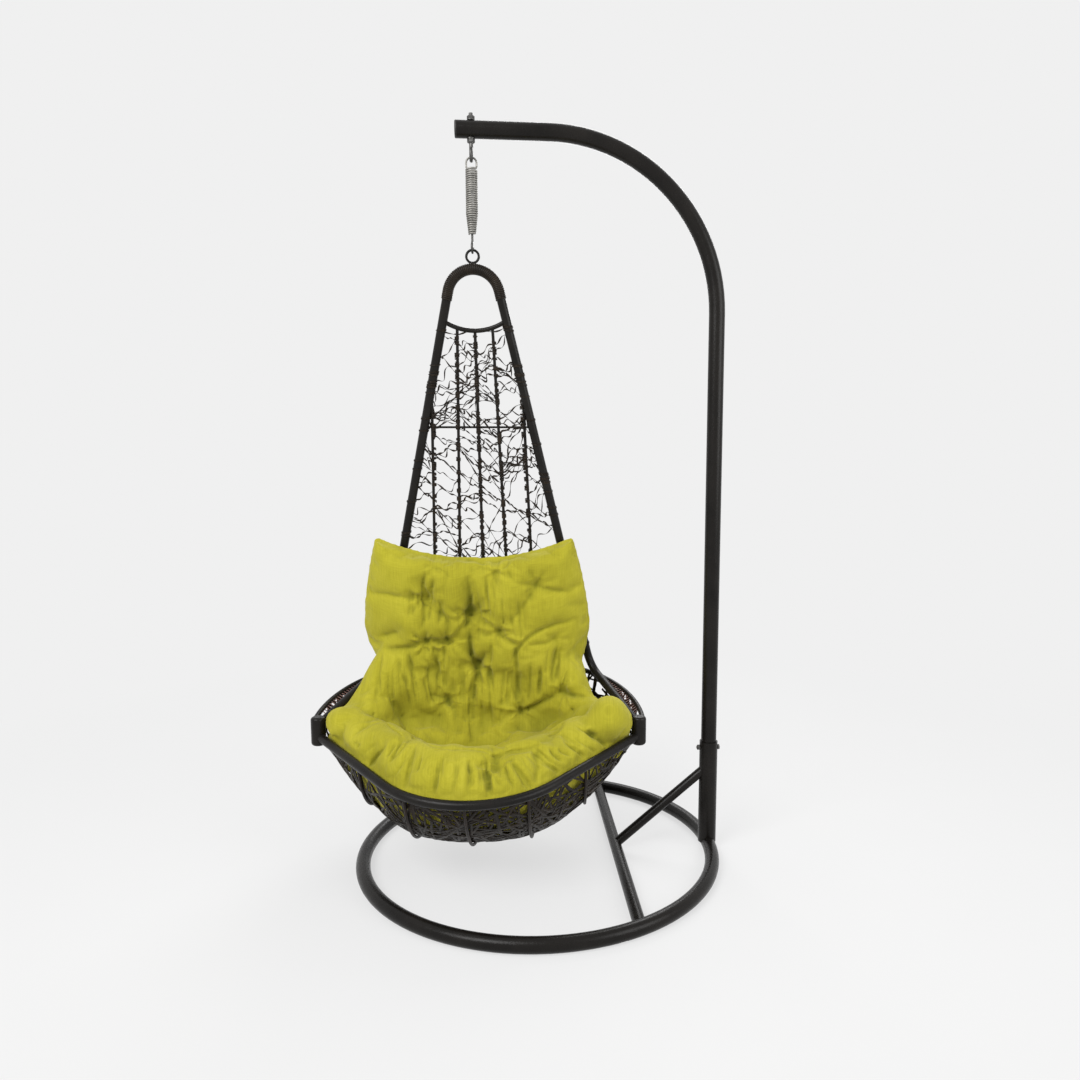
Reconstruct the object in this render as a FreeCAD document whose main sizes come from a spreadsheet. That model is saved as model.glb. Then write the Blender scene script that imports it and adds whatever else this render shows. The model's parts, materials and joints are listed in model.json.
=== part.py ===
import FreeCAD, Part
import math
import os

import Sketcher
from FreeCAD import Placement, Rotation, Vector

# Wicker swing chair: a floor ring with a hooked post, a coil spring on an eye bolt, and a wide
# woven basket seat with an A-shaped back and a tufted cushion.
# Frame: +Z up, origin on the floor at the centre of the ring, +X towards the post, front is -Y.
# The chair's pieces are drawn about the hang axis, with z = 0 at the top of the back frame:
# u to the sitter's left-right (+X), w to the rear (+Y).

SIZES = (
    # Stand
    ("ring_radius", 480.0),
    ("ring_tube", 38.0),
    ("foot_flat", 0.5),
    ("cross_offset", 216.0),
    ("cross_tube", 32.0),
    ("post_tube", 42.4),
    ("floor_clearance", 85.42),
    ("arm_bend", 445.0),
    ("arm_reach", 644.0),
    ("arm_overhang", 36.0),
    ("cap_thickness", 5.0),
    ("cap_round", 3.0),
    ("socket_clearance", 0.3),
    ("socket_wall", 3.6),
    ("socket_top", 312.0),
    ("brace_tube", 26.0),
    ("brace_top", 240.0),
    ("weld_gap", 0.1),
    # Bolts
    ("socket_bolt", 8.0),
    ("socket_bolt_drop", 18.0),
    ("socket_bolt_flats", 13.0),
    ("socket_bolt_head", 5.3),
    ("socket_nut_height", 6.8),
    ("bolt_clearance", 0.2),
    ("eye_bolt", 10.0),
    ("eye_bolt_stub", 18.0),
    ("eye_nut_flats", 17.0),
    ("eye_nut_height", 8.4),
    ("eye_washer", 20.0),
    ("eye_washer_thickness", 2.0),
    ("eye_drop", 40.0),
    ("eye_inner", 18.0),
    ("eye_wire", 9.0),
    # Spring and swivel
    ("hang_gap", 0.3),
    ("spring_wire", 4.8),
    ("spring_outside", 31.0),
    ("spring_pitch", 5.4),
    ("spring_turns", 29.33),
    ("spring_taper_turns", 9.0),
    ("spring_tail_outside", 20.0),
    ("spring_neck", 7.0),
    ("spring_turn_up", 9.0),
    ("spring_leg", 5.0),
    ("spring_stretch", 35.0),
    ("seat_clearance", 0.35),
    ("swivel_shank", 6.0),
    ("swivel_clearance", 0.05),
    ("swivel_head", 16.0),
    ("swivel_head_height", 5.0),
    ("hook_radius", 12.0),
    ("hook_fillet", 8.0),
    ("hook_drop", 82.5),
    ("hook_sweep_deg", 266.4),
    # Chair frame
    ("chair_turn_deg", -4.5),
    ("top_ring", 32.0),
    ("top_ring_wire", 6.5),
    ("top_ring_sink", 2.2),
    ("frame_tube", 24.0),
    ("sleeve_tube", 29.0),
    ("sleeve_tail", 22.0),
    ("back_lean_deg", 12.8),
    ("top_bend", 68.0),
    ("leg_spread_deg", 12.89),
    ("knee_bend", 60.0),
    ("knee_rise", 135.0),
    ("seat_drop", 1241.5),
    ("corner_half", 440.0),
    ("corner_post", 40.0),
    ("corner_post_height", 80.0),
    ("corner_post_round", 9.0),
    ("bar_rise", 30.0),
    ("front_reach", 340.0),
    ("front_dip", 56.0),
    ("front_bend", 285.0),
    ("rear_tube", 14.0),
    ("rear_out", 12.0),
    ("rear_reach", 320.0),
    ("rear_start_rise", 40.0),
    ("rear_over_knee", 3.0),
    ("rear_side_bend", 310.0),
    ("window_bar", 12.0),
    ("window_drop", 124.5),
    ("window_sag", 25.0),
    ("rail_tube", 12.0),
    ("rail_over_knee", 60.0),
    ("crossbar_tube", 6.0),
    ("crossbar_drop", 400.0),
    ("rib_tube", 8.0),
    ("inner_rib_top", 46.0),
    ("inner_rib_foot", 76.0),
    ("outer_rib_foot", 150.0),
    ("outer_rib_drop", 290.0),
    # Weave
    ("weave_thickness", 3.0),
    ("weave_mesh", 44.0),
    ("weave_mesh_rise", 66.0),
    ("weave_strand", 7.0),
    ("bowl_depth", 260.0),
    ("bowl_wall", 6.0),
    ("bowl_rib_gap", 1.0),
    ("lacing_tube", 2.6),
    ("lacing_count", 22.0),
    # Cushion
    ("soft_gap", 0.4),
    ("seat_end_room", 44.0),
    ("bar_room", 4.0),
    ("seat_room", 2.5),
    ("roll_depth", 150.0),
    ("roll_rise", 25.0),
    ("pit_sag", 95.0),
    ("seat_corner", 60.0),
    ("roll_bulge", 0.27),
    ("bolster_rise", 90.0),
    ("bolster_end", 0.35),
    ("back_shift", -14.0),
    ("back_crown", 110.0),
    ("back_channel", 25.0),
    ("back_edge", 42.0),
    ("back_edge_round", 20.0),
    ("back_low_rise", -145.0),
    ("back_low_half", 248.0),
    ("back_wide_rise", 140.0),
    ("back_wide_half", 322.0),
    ("back_top_rise", 405.0),
    ("back_top_half", 272.0),
    ("back_scoop", 602.0),
    ("back_scoop_rise", 322.0),
    ("tuft_ball", 46.0),
    ("tuft_depth", 15.0),
)

# Places that follow from the sizes above
LEVELS = (
    ("hook_chain", "Sizes.eye_inner / 2 - Sizes.hang_gap - Sizes.spring_wire / 2"
                   " + (Sizes.spring_outside - Sizes.spring_wire) / 2"
                   " + Sizes.spring_neck + Sizes.spring_turn_up"
                   " + Sizes.spring_pitch * (Sizes.spring_turns - Sizes.spring_taper_turns)"
                   " + Sizes.hook_drop + Sizes.hook_radius - Sizes.swivel_shank / 2 - Sizes.hang_gap"),
    ("ring_chain", "Sizes.top_ring - Sizes.top_ring_sink + Sizes.sleeve_tube / 2"),
    ("arm_height", "Sizes.floor_clearance + Sizes.bowl_depth + Sizes.seat_drop + ring_chain + hook_chain"
                   " + Sizes.eye_drop + Sizes.post_tube"),
    ("ring_level", "Sizes.ring_tube / 2 - Sizes.foot_flat"),
    ("ring_top", "Sizes.ring_tube - Sizes.foot_flat"),
    ("post_x", "Sizes.ring_radius"),
    ("hang_x", "Sizes.ring_radius - Sizes.arm_reach"),
    ("arm_axis", "arm_height - Sizes.post_tube / 2"),
    ("arm_under", "arm_height - Sizes.post_tube"),
    ("arm_tip", "Sizes.ring_radius - Sizes.arm_reach - Sizes.arm_overhang"),
    ("socket_outer", "Sizes.post_tube / 2 + Sizes.socket_clearance + Sizes.socket_wall"),
    ("bolt_level", "Sizes.socket_top - Sizes.socket_bolt_drop"),
    ("eye_level", "arm_height - Sizes.post_tube - Sizes.eye_drop"),
    ("eye_mean", "(Sizes.eye_inner + Sizes.eye_wire) / 2"),
)

doc = FreeCAD.newDocument("wicker_swing_chair")
sheet = doc.addObject("Spreadsheet::Sheet", "Sizes")
for row, (alias, value) in enumerate(SIZES, start=1):
    sheet.set(f"A{row}", alias)
    sheet.set(f"B{row}", str(value))
    sheet.setAlias(f"B{row}", alias)
levels = doc.addObject("Spreadsheet::Sheet", "Levels")
doc.recompute()
for row, (alias, formula) in enumerate(LEVELS, start=1):
    levels.set(f"A{row}", alias)
    levels.set(f"B{row}", "=" + formula)
    levels.setAlias(f"B{row}", alias)
doc.recompute()

NODES = []


def size(alias):
    """The value of a driving size."""
    return float(getattr(sheet, alias))


def level(alias):
    """The value of a place that follows from the sizes."""
    return float(getattr(levels, alias))


def add(kind, name, bindings=None):
    """A document object with its properties bound to cells."""
    item = doc.addObject(kind, name)
    for path, expression in (bindings or {}).items():
        item.setExpression(path, expression)
    return item


def aim(item, rotation):
    """Turn an object before its position is bound."""
    item.Placement = Placement(Vector(), rotation)


def cut(name, base, *tools):
    """Take each tool in turn out of the base."""
    for number, tool in enumerate(tools, start=1):
        piece = doc.addObject("Part::Cut", f"{name}_cut_{number}")
        piece.Base = base
        piece.Tool = tool
        base = piece
    return base


def keep(node, item):
    """Make an object a sub-part under its node's name."""
    item.Label = node
    NODES.append((node, item))
    return item


def solid(node, shape, place=None):
    """A sub-part whose shape is worked out from the sizes."""
    item = doc.addObject("Part::Feature", node)
    item.Shape = shape
    if place:
        item.Placement = place
    return keep(node, item)


ALONG_X = Rotation(Vector(0, 1, 0), 90)
ALONG_Y = Rotation(Vector(1, 0, 0), -90)


# Stand: floor ring, cross tube, socket and brace

def ring_torus(name, extra):
    return add("Part::Torus", name, {
        "Radius1": "Sizes.ring_radius",
        "Radius2": f"Sizes.ring_tube / 2 + {extra}",
        "Placement.Base.z": "Levels.ring_level",
    })


def upright(name, radius, bottom, top):
    """A cylinder about the post's axis."""
    return add("Part::Cylinder", name, {
        "Radius": radius,
        "Height": f"{top} - {bottom}",
        "Placement.Base.x": "Levels.post_x",
        "Placement.Base.z": bottom,
    })


def cross_bar(name, extra):
    bar = doc.addObject("Part::Cylinder", name)
    aim(bar, ALONG_Y)
    bar.setExpression("Radius", f"Sizes.cross_tube / 2 + {extra}")
    bar.setExpression("Height", "2 * Sizes.ring_radius")
    bar.setExpression("Placement.Base.x", "Sizes.cross_offset")
    bar.setExpression("Placement.Base.y", "-Sizes.ring_radius")
    bar.setExpression("Placement.Base.z", "Levels.ring_level")
    return bar


ring_stock = ring_torus("ring_stock", "0")
foot_cut = add("Part::Box", "foot_cut", {
    "Length": "4 * Sizes.ring_radius",
    "Width": "4 * Sizes.ring_radius",
    "Height": "Sizes.ring_tube",
    "Placement.Base.x": "-2 * Sizes.ring_radius",
    "Placement.Base.y": "-2 * Sizes.ring_radius",
    "Placement.Base.z": "-Sizes.ring_tube",
})
keep("base_ring", cut("base_ring", ring_stock, foot_cut))

ring_cope = ring_torus("ring_cope", "Sizes.weld_gap")
ring_disc = add("Part::Cylinder", "ring_disc", {
    "Radius": "Sizes.ring_radius",
    "Height": "2 * Sizes.ring_tube",
    "Placement.Base.z": "-Sizes.ring_tube / 2",
})
cross_inside = doc.addObject("Part::Common", "cross_inside")
cross_inside.Base = cross_bar("cross_stock", "0")
cross_inside.Tool = ring_disc
keep("cross_tube", cut("cross_tube", cross_inside, ring_cope))

socket_stock = upright("socket_stock", "Levels.socket_outer", "Levels.ring_level", "Sizes.socket_top")
socket_bore = upright("socket_bore", "Sizes.post_tube / 2 + Sizes.socket_clearance",
                      "0", "Sizes.socket_top + Sizes.ring_tube")
bolt_hole = doc.addObject("Part::Cylinder", "bolt_hole")
aim(bolt_hole, ALONG_X)
bolt_hole.setExpression("Radius", "Sizes.socket_bolt / 2 + Sizes.bolt_clearance")
bolt_hole.setExpression("Height", "4 * Levels.socket_outer")
bolt_hole.setExpression("Placement.Base.x", "Levels.post_x - 2 * Levels.socket_outer")
bolt_hole.setExpression("Placement.Base.z", "Levels.bolt_level")
keep("post_socket", cut("post_socket", socket_stock, socket_bore, ring_torus("socket_cope", "Sizes.weld_gap"),
                        bolt_hole))

RUN = "(Levels.post_x - Sizes.cross_offset)"
CLIMB = "(Sizes.brace_top - Levels.ring_level)"
brace_stock = doc.addObject("Part::Cylinder", "brace_stock")
aim(brace_stock, ALONG_X)
brace_stock.setExpression("Radius", "Sizes.brace_tube / 2")
brace_stock.setExpression("Height", f"sqrt({RUN}^2 + {CLIMB}^2)")
brace_stock.setExpression("Placement.Rotation.Angle", f"90 - atan2({CLIMB}; {RUN}) / 1deg")
brace_stock.setExpression("Placement.Base.x", "Sizes.cross_offset")
brace_stock.setExpression("Placement.Base.z", "Levels.ring_level")
socket_cope = upright("brace_cope", "Levels.socket_outer + Sizes.weld_gap", "0", "Sizes.socket_top * 2")
keep("brace", cut("brace", brace_stock, cross_bar("cross_cope", "Sizes.weld_gap"), socket_cope))


# Post and arm: one bent tube

def origin_plane(body, role):
    return [plane for plane in body.Origin.OriginFeatures if plane.Role == role][0]


def sketch_on(body, name, role):
    sketch = body.newObject("Sketcher::SketchObject", name)
    sketch.AttachmentSupport = [(origin_plane(body, role), "")]
    sketch.MapMode = "FlatFace"
    return sketch


def dimension(sketch, name, kind, *where, value, expression):
    number = sketch.addConstraint(Sketcher.Constraint(kind, *where, value))
    sketch.renameConstraint(number, name)
    sketch.setExpression(f"Constraints.{name}", expression)


arm_body = doc.addObject("PartDesign::Body", "arm_body")
post_x = level("post_x")
post_foot = level("ring_top") + size("weld_gap")
bend = size("arm_bend")
bend_z = level("arm_axis") - bend

arm_path = sketch_on(arm_body, "arm_path", "XZ_Plane")
arm_path.addGeometry(Part.LineSegment(Vector(post_x, post_foot, 0), Vector(post_x, bend_z, 0)))
arm_path.addGeometry(Part.ArcOfCircle(
    Part.Circle(Vector(post_x - bend, bend_z, 0), Vector(0, 0, 1), bend), 0, math.pi / 2))
arm_path.addGeometry(Part.LineSegment(
    Vector(post_x - bend, bend_z + bend, 0), Vector(level("arm_tip"), bend_z + bend, 0)))
arm_path.addConstraint(Sketcher.Constraint("Vertical", 0))
arm_path.addConstraint(Sketcher.Constraint("Horizontal", 2))
arm_path.addConstraint(Sketcher.Constraint("Tangent", 0, 2, 1, 1))
arm_path.addConstraint(Sketcher.Constraint("Tangent", 1, 2, 2, 1))
dimension(arm_path, "bend", "Radius", 1, value=bend, expression="Sizes.arm_bend")
dimension(arm_path, "post", "DistanceX", -1, 1, 0, 1, value=post_x, expression="Levels.post_x")
dimension(arm_path, "foot", "DistanceY", -1, 1, 0, 1, value=post_foot,
          expression="Levels.ring_top + Sizes.weld_gap")
dimension(arm_path, "top", "DistanceY", -1, 1, 2, 2, value=level("arm_axis"), expression="Levels.arm_axis")
dimension(arm_path, "reach", "DistanceX", 2, 2, 0, 1, value=size("arm_reach") + size("arm_overhang"),
          expression="Sizes.arm_reach + Sizes.arm_overhang")

arm_section = sketch_on(arm_body, "arm_section", "XY_Plane")
arm_section.setExpression("AttachmentOffset.Base.z", "Levels.ring_top + Sizes.weld_gap")
arm_section.addGeometry(Part.Circle(Vector(post_x, 0, 0), Vector(0, 0, 1), size("post_tube") / 2))
arm_section.addConstraint(Sketcher.Constraint("PointOnObject", 0, 3, -1))
dimension(arm_section, "tube", "Diameter", 0, value=size("post_tube"), expression="Sizes.post_tube")
dimension(arm_section, "post", "DistanceX", -1, 1, 0, 3, value=post_x, expression="Levels.post_x")
doc.recompute()
arm_sweep = arm_body.newObject("PartDesign::AdditivePipe", "arm_sweep")
arm_sweep.Profile = arm_section
arm_sweep.Spine = (arm_path, ["Edge1", "Edge2", "Edge3"])

arm_hole = add("Part::Cylinder", "arm_hole", {
    "Radius": "Sizes.eye_bolt / 2 + Sizes.bolt_clearance",
    "Height": "2 * Sizes.post_tube",
    "Placement.Base.x": "Levels.hang_x",
    "Placement.Base.z": "Levels.arm_axis - Sizes.post_tube",
})
keep("arm_post", cut("arm_post", arm_body, bolt_hole, arm_hole))

cap_stock = doc.addObject("Part::Cylinder", "cap_stock")
aim(cap_stock, ALONG_X)
cap_stock.setExpression("Radius", "Sizes.post_tube / 2")
cap_stock.setExpression("Height", "Sizes.cap_thickness")
cap_stock.setExpression("Placement.Base.x", "Levels.arm_tip - Sizes.cap_thickness - Sizes.weld_gap")
cap_stock.setExpression("Placement.Base.z", "Levels.arm_axis")
doc.recompute()
cap_rim = [number for number, edge in enumerate(cap_stock.Shape.Edges, start=1)
           if edge.isClosed() and edge.BoundBox.XMax < cap_stock.Shape.CenterOfMass.x]
end_cap = doc.addObject("Part::Fillet", "end_cap")
end_cap.Base = cap_stock
end_cap.Edges = [(number, size("cap_round"), size("cap_round")) for number in cap_rim]
keep("arm_end_cap", end_cap)


# Bolts, nuts and washers

def socket_screw(name, radius, start, end):
    """A cylinder along the socket bolt's axis, between two distances from the post's axis."""
    pin = doc.addObject("Part::Cylinder", name)
    aim(pin, ALONG_X)
    pin.setExpression("Radius", radius)
    pin.setExpression("Height", f"{end} - {start}")
    pin.setExpression("Placement.Base.x", f"Levels.post_x + {start}")
    pin.setExpression("Placement.Base.z", "Levels.bolt_level")
    return pin


def socket_hexagon(name, height, start):
    nut = doc.addObject("Part::Prism", name)
    nut.Polygon = 6
    aim(nut, ALONG_X)
    nut.setExpression("Circumradius", "Sizes.socket_bolt_flats / sqrt(3)")
    nut.setExpression("Height", height)
    nut.setExpression("Placement.Base.x", f"Levels.post_x + {start}")
    nut.setExpression("Placement.Base.z", "Levels.bolt_level")
    return nut


BOLT_SEAT = "(Levels.socket_outer + Sizes.weld_gap)"
BOLT_END = f"({BOLT_SEAT} + Sizes.socket_nut_height + Sizes.socket_bolt / 4)"
bolt = doc.addObject("Part::Fuse", "bolt_fuse")
bolt.Base = socket_screw("bolt_shank", "Sizes.socket_bolt / 2", f"-{BOLT_END}", BOLT_SEAT)
bolt.Tool = socket_hexagon("bolt_head", "Sizes.socket_bolt_head", BOLT_SEAT)
keep("socket_bolt", bolt)
nut_bore = socket_screw("nut_bore", "Sizes.socket_bolt / 2 + Sizes.weld_gap", f"-2 * {BOLT_END}", "0")
nut_stock = socket_hexagon("nut_stock", "Sizes.socket_nut_height",
                           f"(-{BOLT_SEAT} - Sizes.socket_nut_height)")
keep("socket_nut", cut("socket_nut", nut_stock, nut_bore))

HANG = {"Placement.Base.x": "Levels.hang_x"}


def on_hang(name, radius, bottom, height):
    return add("Part::Cylinder", name, {
        "Radius": radius, "Height": height, "Placement.Base.z": bottom, **HANG})


def washer(node, bottom):
    disc = on_hang(f"{node}_disc", "Sizes.eye_washer / 2", bottom, "Sizes.eye_washer_thickness")
    bore = on_hang(f"{node}_bore", "Sizes.eye_bolt / 2 + Sizes.bolt_clearance", f"{bottom} - 1",
                   "Sizes.eye_washer_thickness + 2")
    keep(node, cut(node, disc, bore))


def eye_nut(node, bottom):
    stock = add("Part::Prism", f"{node}_stock", {
        "Circumradius": "Sizes.eye_nut_flats / sqrt(3)", "Height": "Sizes.eye_nut_height",
        "Placement.Base.z": bottom, **HANG})
    stock.Polygon = 6
    bore = on_hang(f"{node}_bore", "Sizes.eye_bolt / 2 + Sizes.weld_gap", f"{bottom} - 1",
                   "Sizes.eye_nut_height + 2")
    keep(node, cut(node, stock, bore))


UPPER_WASHER = "(Levels.arm_height + Sizes.weld_gap)"
UPPER_NUT = f"({UPPER_WASHER} + Sizes.eye_washer_thickness + Sizes.weld_gap)"
LOWER_WASHER = "(Levels.arm_under - Sizes.weld_gap - Sizes.eye_washer_thickness)"
LOWER_NUT = f"({LOWER_WASHER} - Sizes.weld_gap - Sizes.eye_nut_height)"
washer("eye_washer_upper", UPPER_WASHER)
eye_nut("eye_nut_upper", UPPER_NUT)
washer("eye_washer_lower", LOWER_WASHER)
eye_nut("eye_nut_lower", LOWER_NUT)

eye_rod = on_hang("eye_rod", "Sizes.eye_bolt / 2", "Levels.eye_level + Levels.eye_mean",
                  "Levels.arm_height + Sizes.eye_bolt_stub - Levels.eye_level - Levels.eye_mean")
eye_loop = doc.addObject("Part::Torus", "eye_loop")
aim(eye_loop, ALONG_X)
eye_loop.setExpression("Radius1", "Levels.eye_mean")
eye_loop.setExpression("Radius2", "Sizes.eye_wire / 2")
eye_loop.setExpression("Placement.Base.x", "Levels.hang_x")
eye_loop.setExpression("Placement.Base.z", "Levels.eye_level")
eye = doc.addObject("Part::Fuse", "eye_fuse")
eye.Base = eye_rod
eye.Tool = eye_loop
keep("eye_bolt", eye)


# Paths of straight runs and tangent arcs, and the round bars swept along them

def line(start, end):
    return Part.LineSegment(start, end).toShape()


def arc(start, middle, end):
    return Part.Arc(start, middle, end).toShape()


def rounded_path(points, radii):
    """Straight runs through the points, each inner corner rounded to its radius."""
    edges = []
    start = points[0]
    for before, corner, after, radius in zip(points, points[1:], points[2:], radii):
        back = (before - corner).normalize()
        ahead = (after - corner).normalize()
        half = back.getAngle(ahead) / 2
        reach = radius / math.tan(half)
        inward = (back + ahead).normalize()
        enter = corner + back * reach
        leave = corner + ahead * reach
        edges.append(line(start, enter))
        edges.append(arc(enter, corner + inward * (radius / math.sin(half) - radius), leave))
        start = leave
    edges.append(line(start, points[-1]))
    return edges


def bar(edges, diameter):
    """A round bar along a path."""
    first = edges[0]
    start = first.valueAt(first.FirstParameter)
    ring = Part.Wire(Part.makeCircle(diameter / 2, start, first.tangentAt(first.FirstParameter)))
    return Part.Wire(edges).makePipeShell([ring], True, False)


def rod(start, end, diameter):
    run = end - start
    return Part.makeCylinder(diameter / 2, run.Length, start, run)


# Spring: one wire from the tapered tail up the close coil and over the top loop

hang = Vector(level("hang_x"), 0, 0)
wire = size("spring_wire")
coil_mean = (size("spring_outside") - wire) / 2
tail_mean = (size("spring_tail_outside") - wire) / 2
loop_top = level("eye_level") - size("eye_inner") / 2 + size("hang_gap") + wire / 2
loop_level = loop_top - coil_mean
coil_top = loop_level - size("spring_neck") - size("spring_turn_up")
coil_bottom = coil_top - size("spring_pitch") * size("spring_turns")
coil_end_turn = -1 / 6


def coil_point(turn):
    """A point of the coil and its direction, with turns counted up from the tail."""
    taper = min(turn / size("spring_taper_turns"), 1)
    radius = tail_mean + (coil_mean - tail_mean) * taper
    widening = (coil_mean - tail_mean) / size("spring_taper_turns") if taper < 1 else 0
    angle = 2 * math.pi * (turn - size("spring_turns") + coil_end_turn)
    out = Vector(math.cos(angle), math.sin(angle), 0)
    around = Vector(-math.sin(angle), math.cos(angle), 0)
    place = hang + out * radius + Vector(0, 0, coil_bottom + size("spring_pitch") * turn)
    heading = around * (2 * math.pi * radius) + out * widening + Vector(0, 0, size("spring_pitch"))
    return place, heading.normalize()


def biarc(start, start_heading, end, end_heading):
    """Two arcs that join two points along their headings."""
    span = end - start
    both = span.dot(start_heading + end_heading)
    bend_share = 2 * (1 - start_heading.dot(end_heading))
    reach = (math.sqrt(both ** 2 + bend_share * span.dot(span)) - both) / bend_share
    first_corner = start + start_heading * reach
    last_corner = end - end_heading * reach
    middle = (first_corner + last_corner) / 2
    edges = []
    for one, corner, other in ((start, first_corner, middle), (middle, last_corner, end)):
        chord = (one + other) / 2
        flat = one.distanceToPoint(other) / (2 * reach)
        edges.append(arc(one, chord + (corner - chord) * (flat / (1 + flat)), other))
    return edges


half_turns = math.ceil(2 * size("spring_turns"))
stations = [coil_point(size("spring_turns") * step / half_turns) for step in range(half_turns + 1)]
spring_path = []
for (place, heading), (next_place, next_heading) in zip(stations, stations[1:]):
    spring_path += biarc(place, heading, next_place, next_heading)
neck_foot = hang + Vector(coil_mean, 0, coil_top + size("spring_turn_up"))
loop_start = hang + Vector(coil_mean, 0, loop_level)
loop_end = hang + Vector(-coil_mean, 0, loop_level)
leg_end = loop_end - Vector(0, 0, size("spring_neck") + size("spring_leg"))
spring_path += biarc(*stations[-1], neck_foot, Vector(0, 0, 1))
spring_path.append(line(neck_foot, loop_start))
spring_path.append(arc(loop_start, hang + Vector(0, 0, loop_top), loop_end))
spring_path.append(line(loop_end, leg_end))
solid("spring", bar(spring_path, wire))

SAMPLES = 8
trail = []
for edge in spring_path:
    trail += edge.discretize(SAMPLES)[1:]
apart = math.ceil(4 * wire / trail[0].distanceToPoint(trail[1]))
least = min(trail[one].distanceToPoint(trail[other])
            for one in range(len(trail))
            for other in range(one + apart, min(one + 6 * apart, len(trail))))
print(f"spring: least gap between turns {least - wire:.2f} mm")

# Spring seat: a cone inside the tapered tail, slim enough for the tail to lengthen around it
tail_length = size("spring_taper_turns") * size("spring_pitch")
seat_foot = coil_bottom + wire / 2
seat_top = coil_bottom + tail_length
seat_low = tail_mean - wire / 2 - size("seat_clearance")
growth = 1 + size("spring_stretch") / (loop_top - coil_bottom)
seat_high = seat_low + (coil_mean - tail_mean) / growth
cone = Part.makeCone(seat_low, seat_high, seat_top - seat_foot, hang + Vector(0, 0, seat_foot))
seat_bore = Part.makeCylinder(size("swivel_shank") / 2 + size("swivel_clearance"), seat_top - seat_foot,
                              hang + Vector(0, 0, seat_foot))
solid("spring_seat", cone.cut(seat_bore))

# Swivel hook: a headed shank through the seat, bent into a hook below it
hook_r = size("hook_radius")
fillet_r = size("hook_fillet")
head_foot = seat_top + size("hang_gap")
hook_level = seat_top - size("hook_drop")
fillet_level = hook_level + math.sqrt((hook_r + fillet_r) ** 2 - fillet_r ** 2)
lean_in = math.asin(fillet_r / (hook_r + fillet_r))


def around(centre_y, centre_z, radius, angle):
    return Vector(0, centre_y + radius * math.cos(angle), centre_z + radius * math.sin(angle))


hook_start = math.pi / 2 + lean_in
hook_end = hook_start + math.radians(size("hook_sweep_deg"))
shank_foot = Vector(0, 0, fillet_level)
hook_join = around(0, hook_level, hook_r, hook_start)
hook_path = [
    line(Vector(0, 0, head_foot), shank_foot),
    arc(shank_foot, around(-fillet_r, fillet_level, fillet_r, (lean_in - math.pi / 2) / 2), hook_join),
    arc(hook_join, around(0, hook_level, hook_r, hook_start + (hook_end - hook_start) / 4),
        around(0, hook_level, hook_r, (hook_start + hook_end) / 2)),
    arc(around(0, hook_level, hook_r, (hook_start + hook_end) / 2),
        around(0, hook_level, hook_r, hook_start + 3 * (hook_end - hook_start) / 4),
        around(0, hook_level, hook_r, hook_end)),
]
hook_head = Part.makeCylinder(size("swivel_head") / 2, size("swivel_head_height"), Vector(0, 0, head_foot))
turned = Rotation(Vector(0, 0, 1), size("chair_turn_deg"))
solid("swivel_hook", bar(hook_path, size("swivel_shank")).fuse(hook_head).removeSplitter(),
      Placement(hang, turned))

# Chair: every piece below is drawn about the hang axis, down from the top of the back frame
hook_wire_level = hook_level - hook_r
top_ring_mean = size("top_ring") / 2
top_ring_level = (hook_wire_level + size("swivel_shank") / 2 + size("hang_gap")
                  + size("top_ring_wire") / 2 - top_ring_mean)
frame_top = (top_ring_level - top_ring_mean - size("top_ring_wire") / 2
             + size("top_ring_sink") - size("sleeve_tube") / 2)
chair_place = Placement(hang + Vector(0, 0, frame_top), turned)
lean = math.radians(size("back_lean_deg"))
seat_level = -size("seat_drop")
gap = size("weld_gap")
soft = size("soft_gap")
down_back = Vector(0, math.sin(lean), -math.cos(lean))
to_front = Vector(0, -math.cos(lean), -math.sin(lean))


def in_back(u, drop, forward=0.0):
    """A point of the leaning back: beside the middle, below the top, in front of the frame's plane."""
    return Vector(u, 0, 0) + down_back * (drop / math.cos(lean)) + to_front * forward


def leg_half(drop):
    """Half the distance between the legs' axes at a drop below the top."""
    spread = math.radians(size("leg_spread_deg"))
    below_bend = drop / math.cos(lean) - size("top_bend") * (1 - math.sin(spread))
    return size("top_bend") * math.cos(spread) + below_bend * math.tan(spread)


# Back frame: one tube from corner to corner over the top
knee_drop = size("seat_drop") - size("knee_rise")
knee = in_back(leg_half(knee_drop), knee_drop)
rail_drop = knee_drop - size("rail_over_knee")
bar_end = Vector(size("corner_half"), 0, seat_level + size("bar_rise"))
apex_drop = size("top_bend") * (1 - 1 / math.sin(math.radians(size("leg_spread_deg")))) * math.cos(lean)


def mirrored(point):
    return Vector(-point.x, point.y, point.z)


frame_path = rounded_path(
    [bar_end, knee, in_back(0, apex_drop), mirrored(knee), mirrored(bar_end)],
    [size("knee_bend"), size("top_bend"), size("knee_bend")])
corner_low = seat_level - size("corner_post_height") / 2 + size("bar_rise") / 2


def corner_post(side, extra):
    foot = Vector(side * size("corner_half"), 0, corner_low - extra)
    return Part.makeCylinder(size("corner_post") / 2 + extra, size("corner_post_height") + 2 * extra, foot)


corner_copes = [corner_post(side, gap) for side in (-1, 1)]
solid("back_frame", bar(frame_path, size("frame_tube")).cut(corner_copes), chair_place)
frame_cope = bar(frame_path, size("frame_tube") + 2 * gap)

for name, side in (("left", -1), ("right", 1)):
    post = corner_post(side, 0)
    rims = [edge for edge in post.Edges if edge.Closed]
    solid(f"corner_post_{name}", post.makeFillet(size("corner_post_round"), rims), chair_place)

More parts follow.
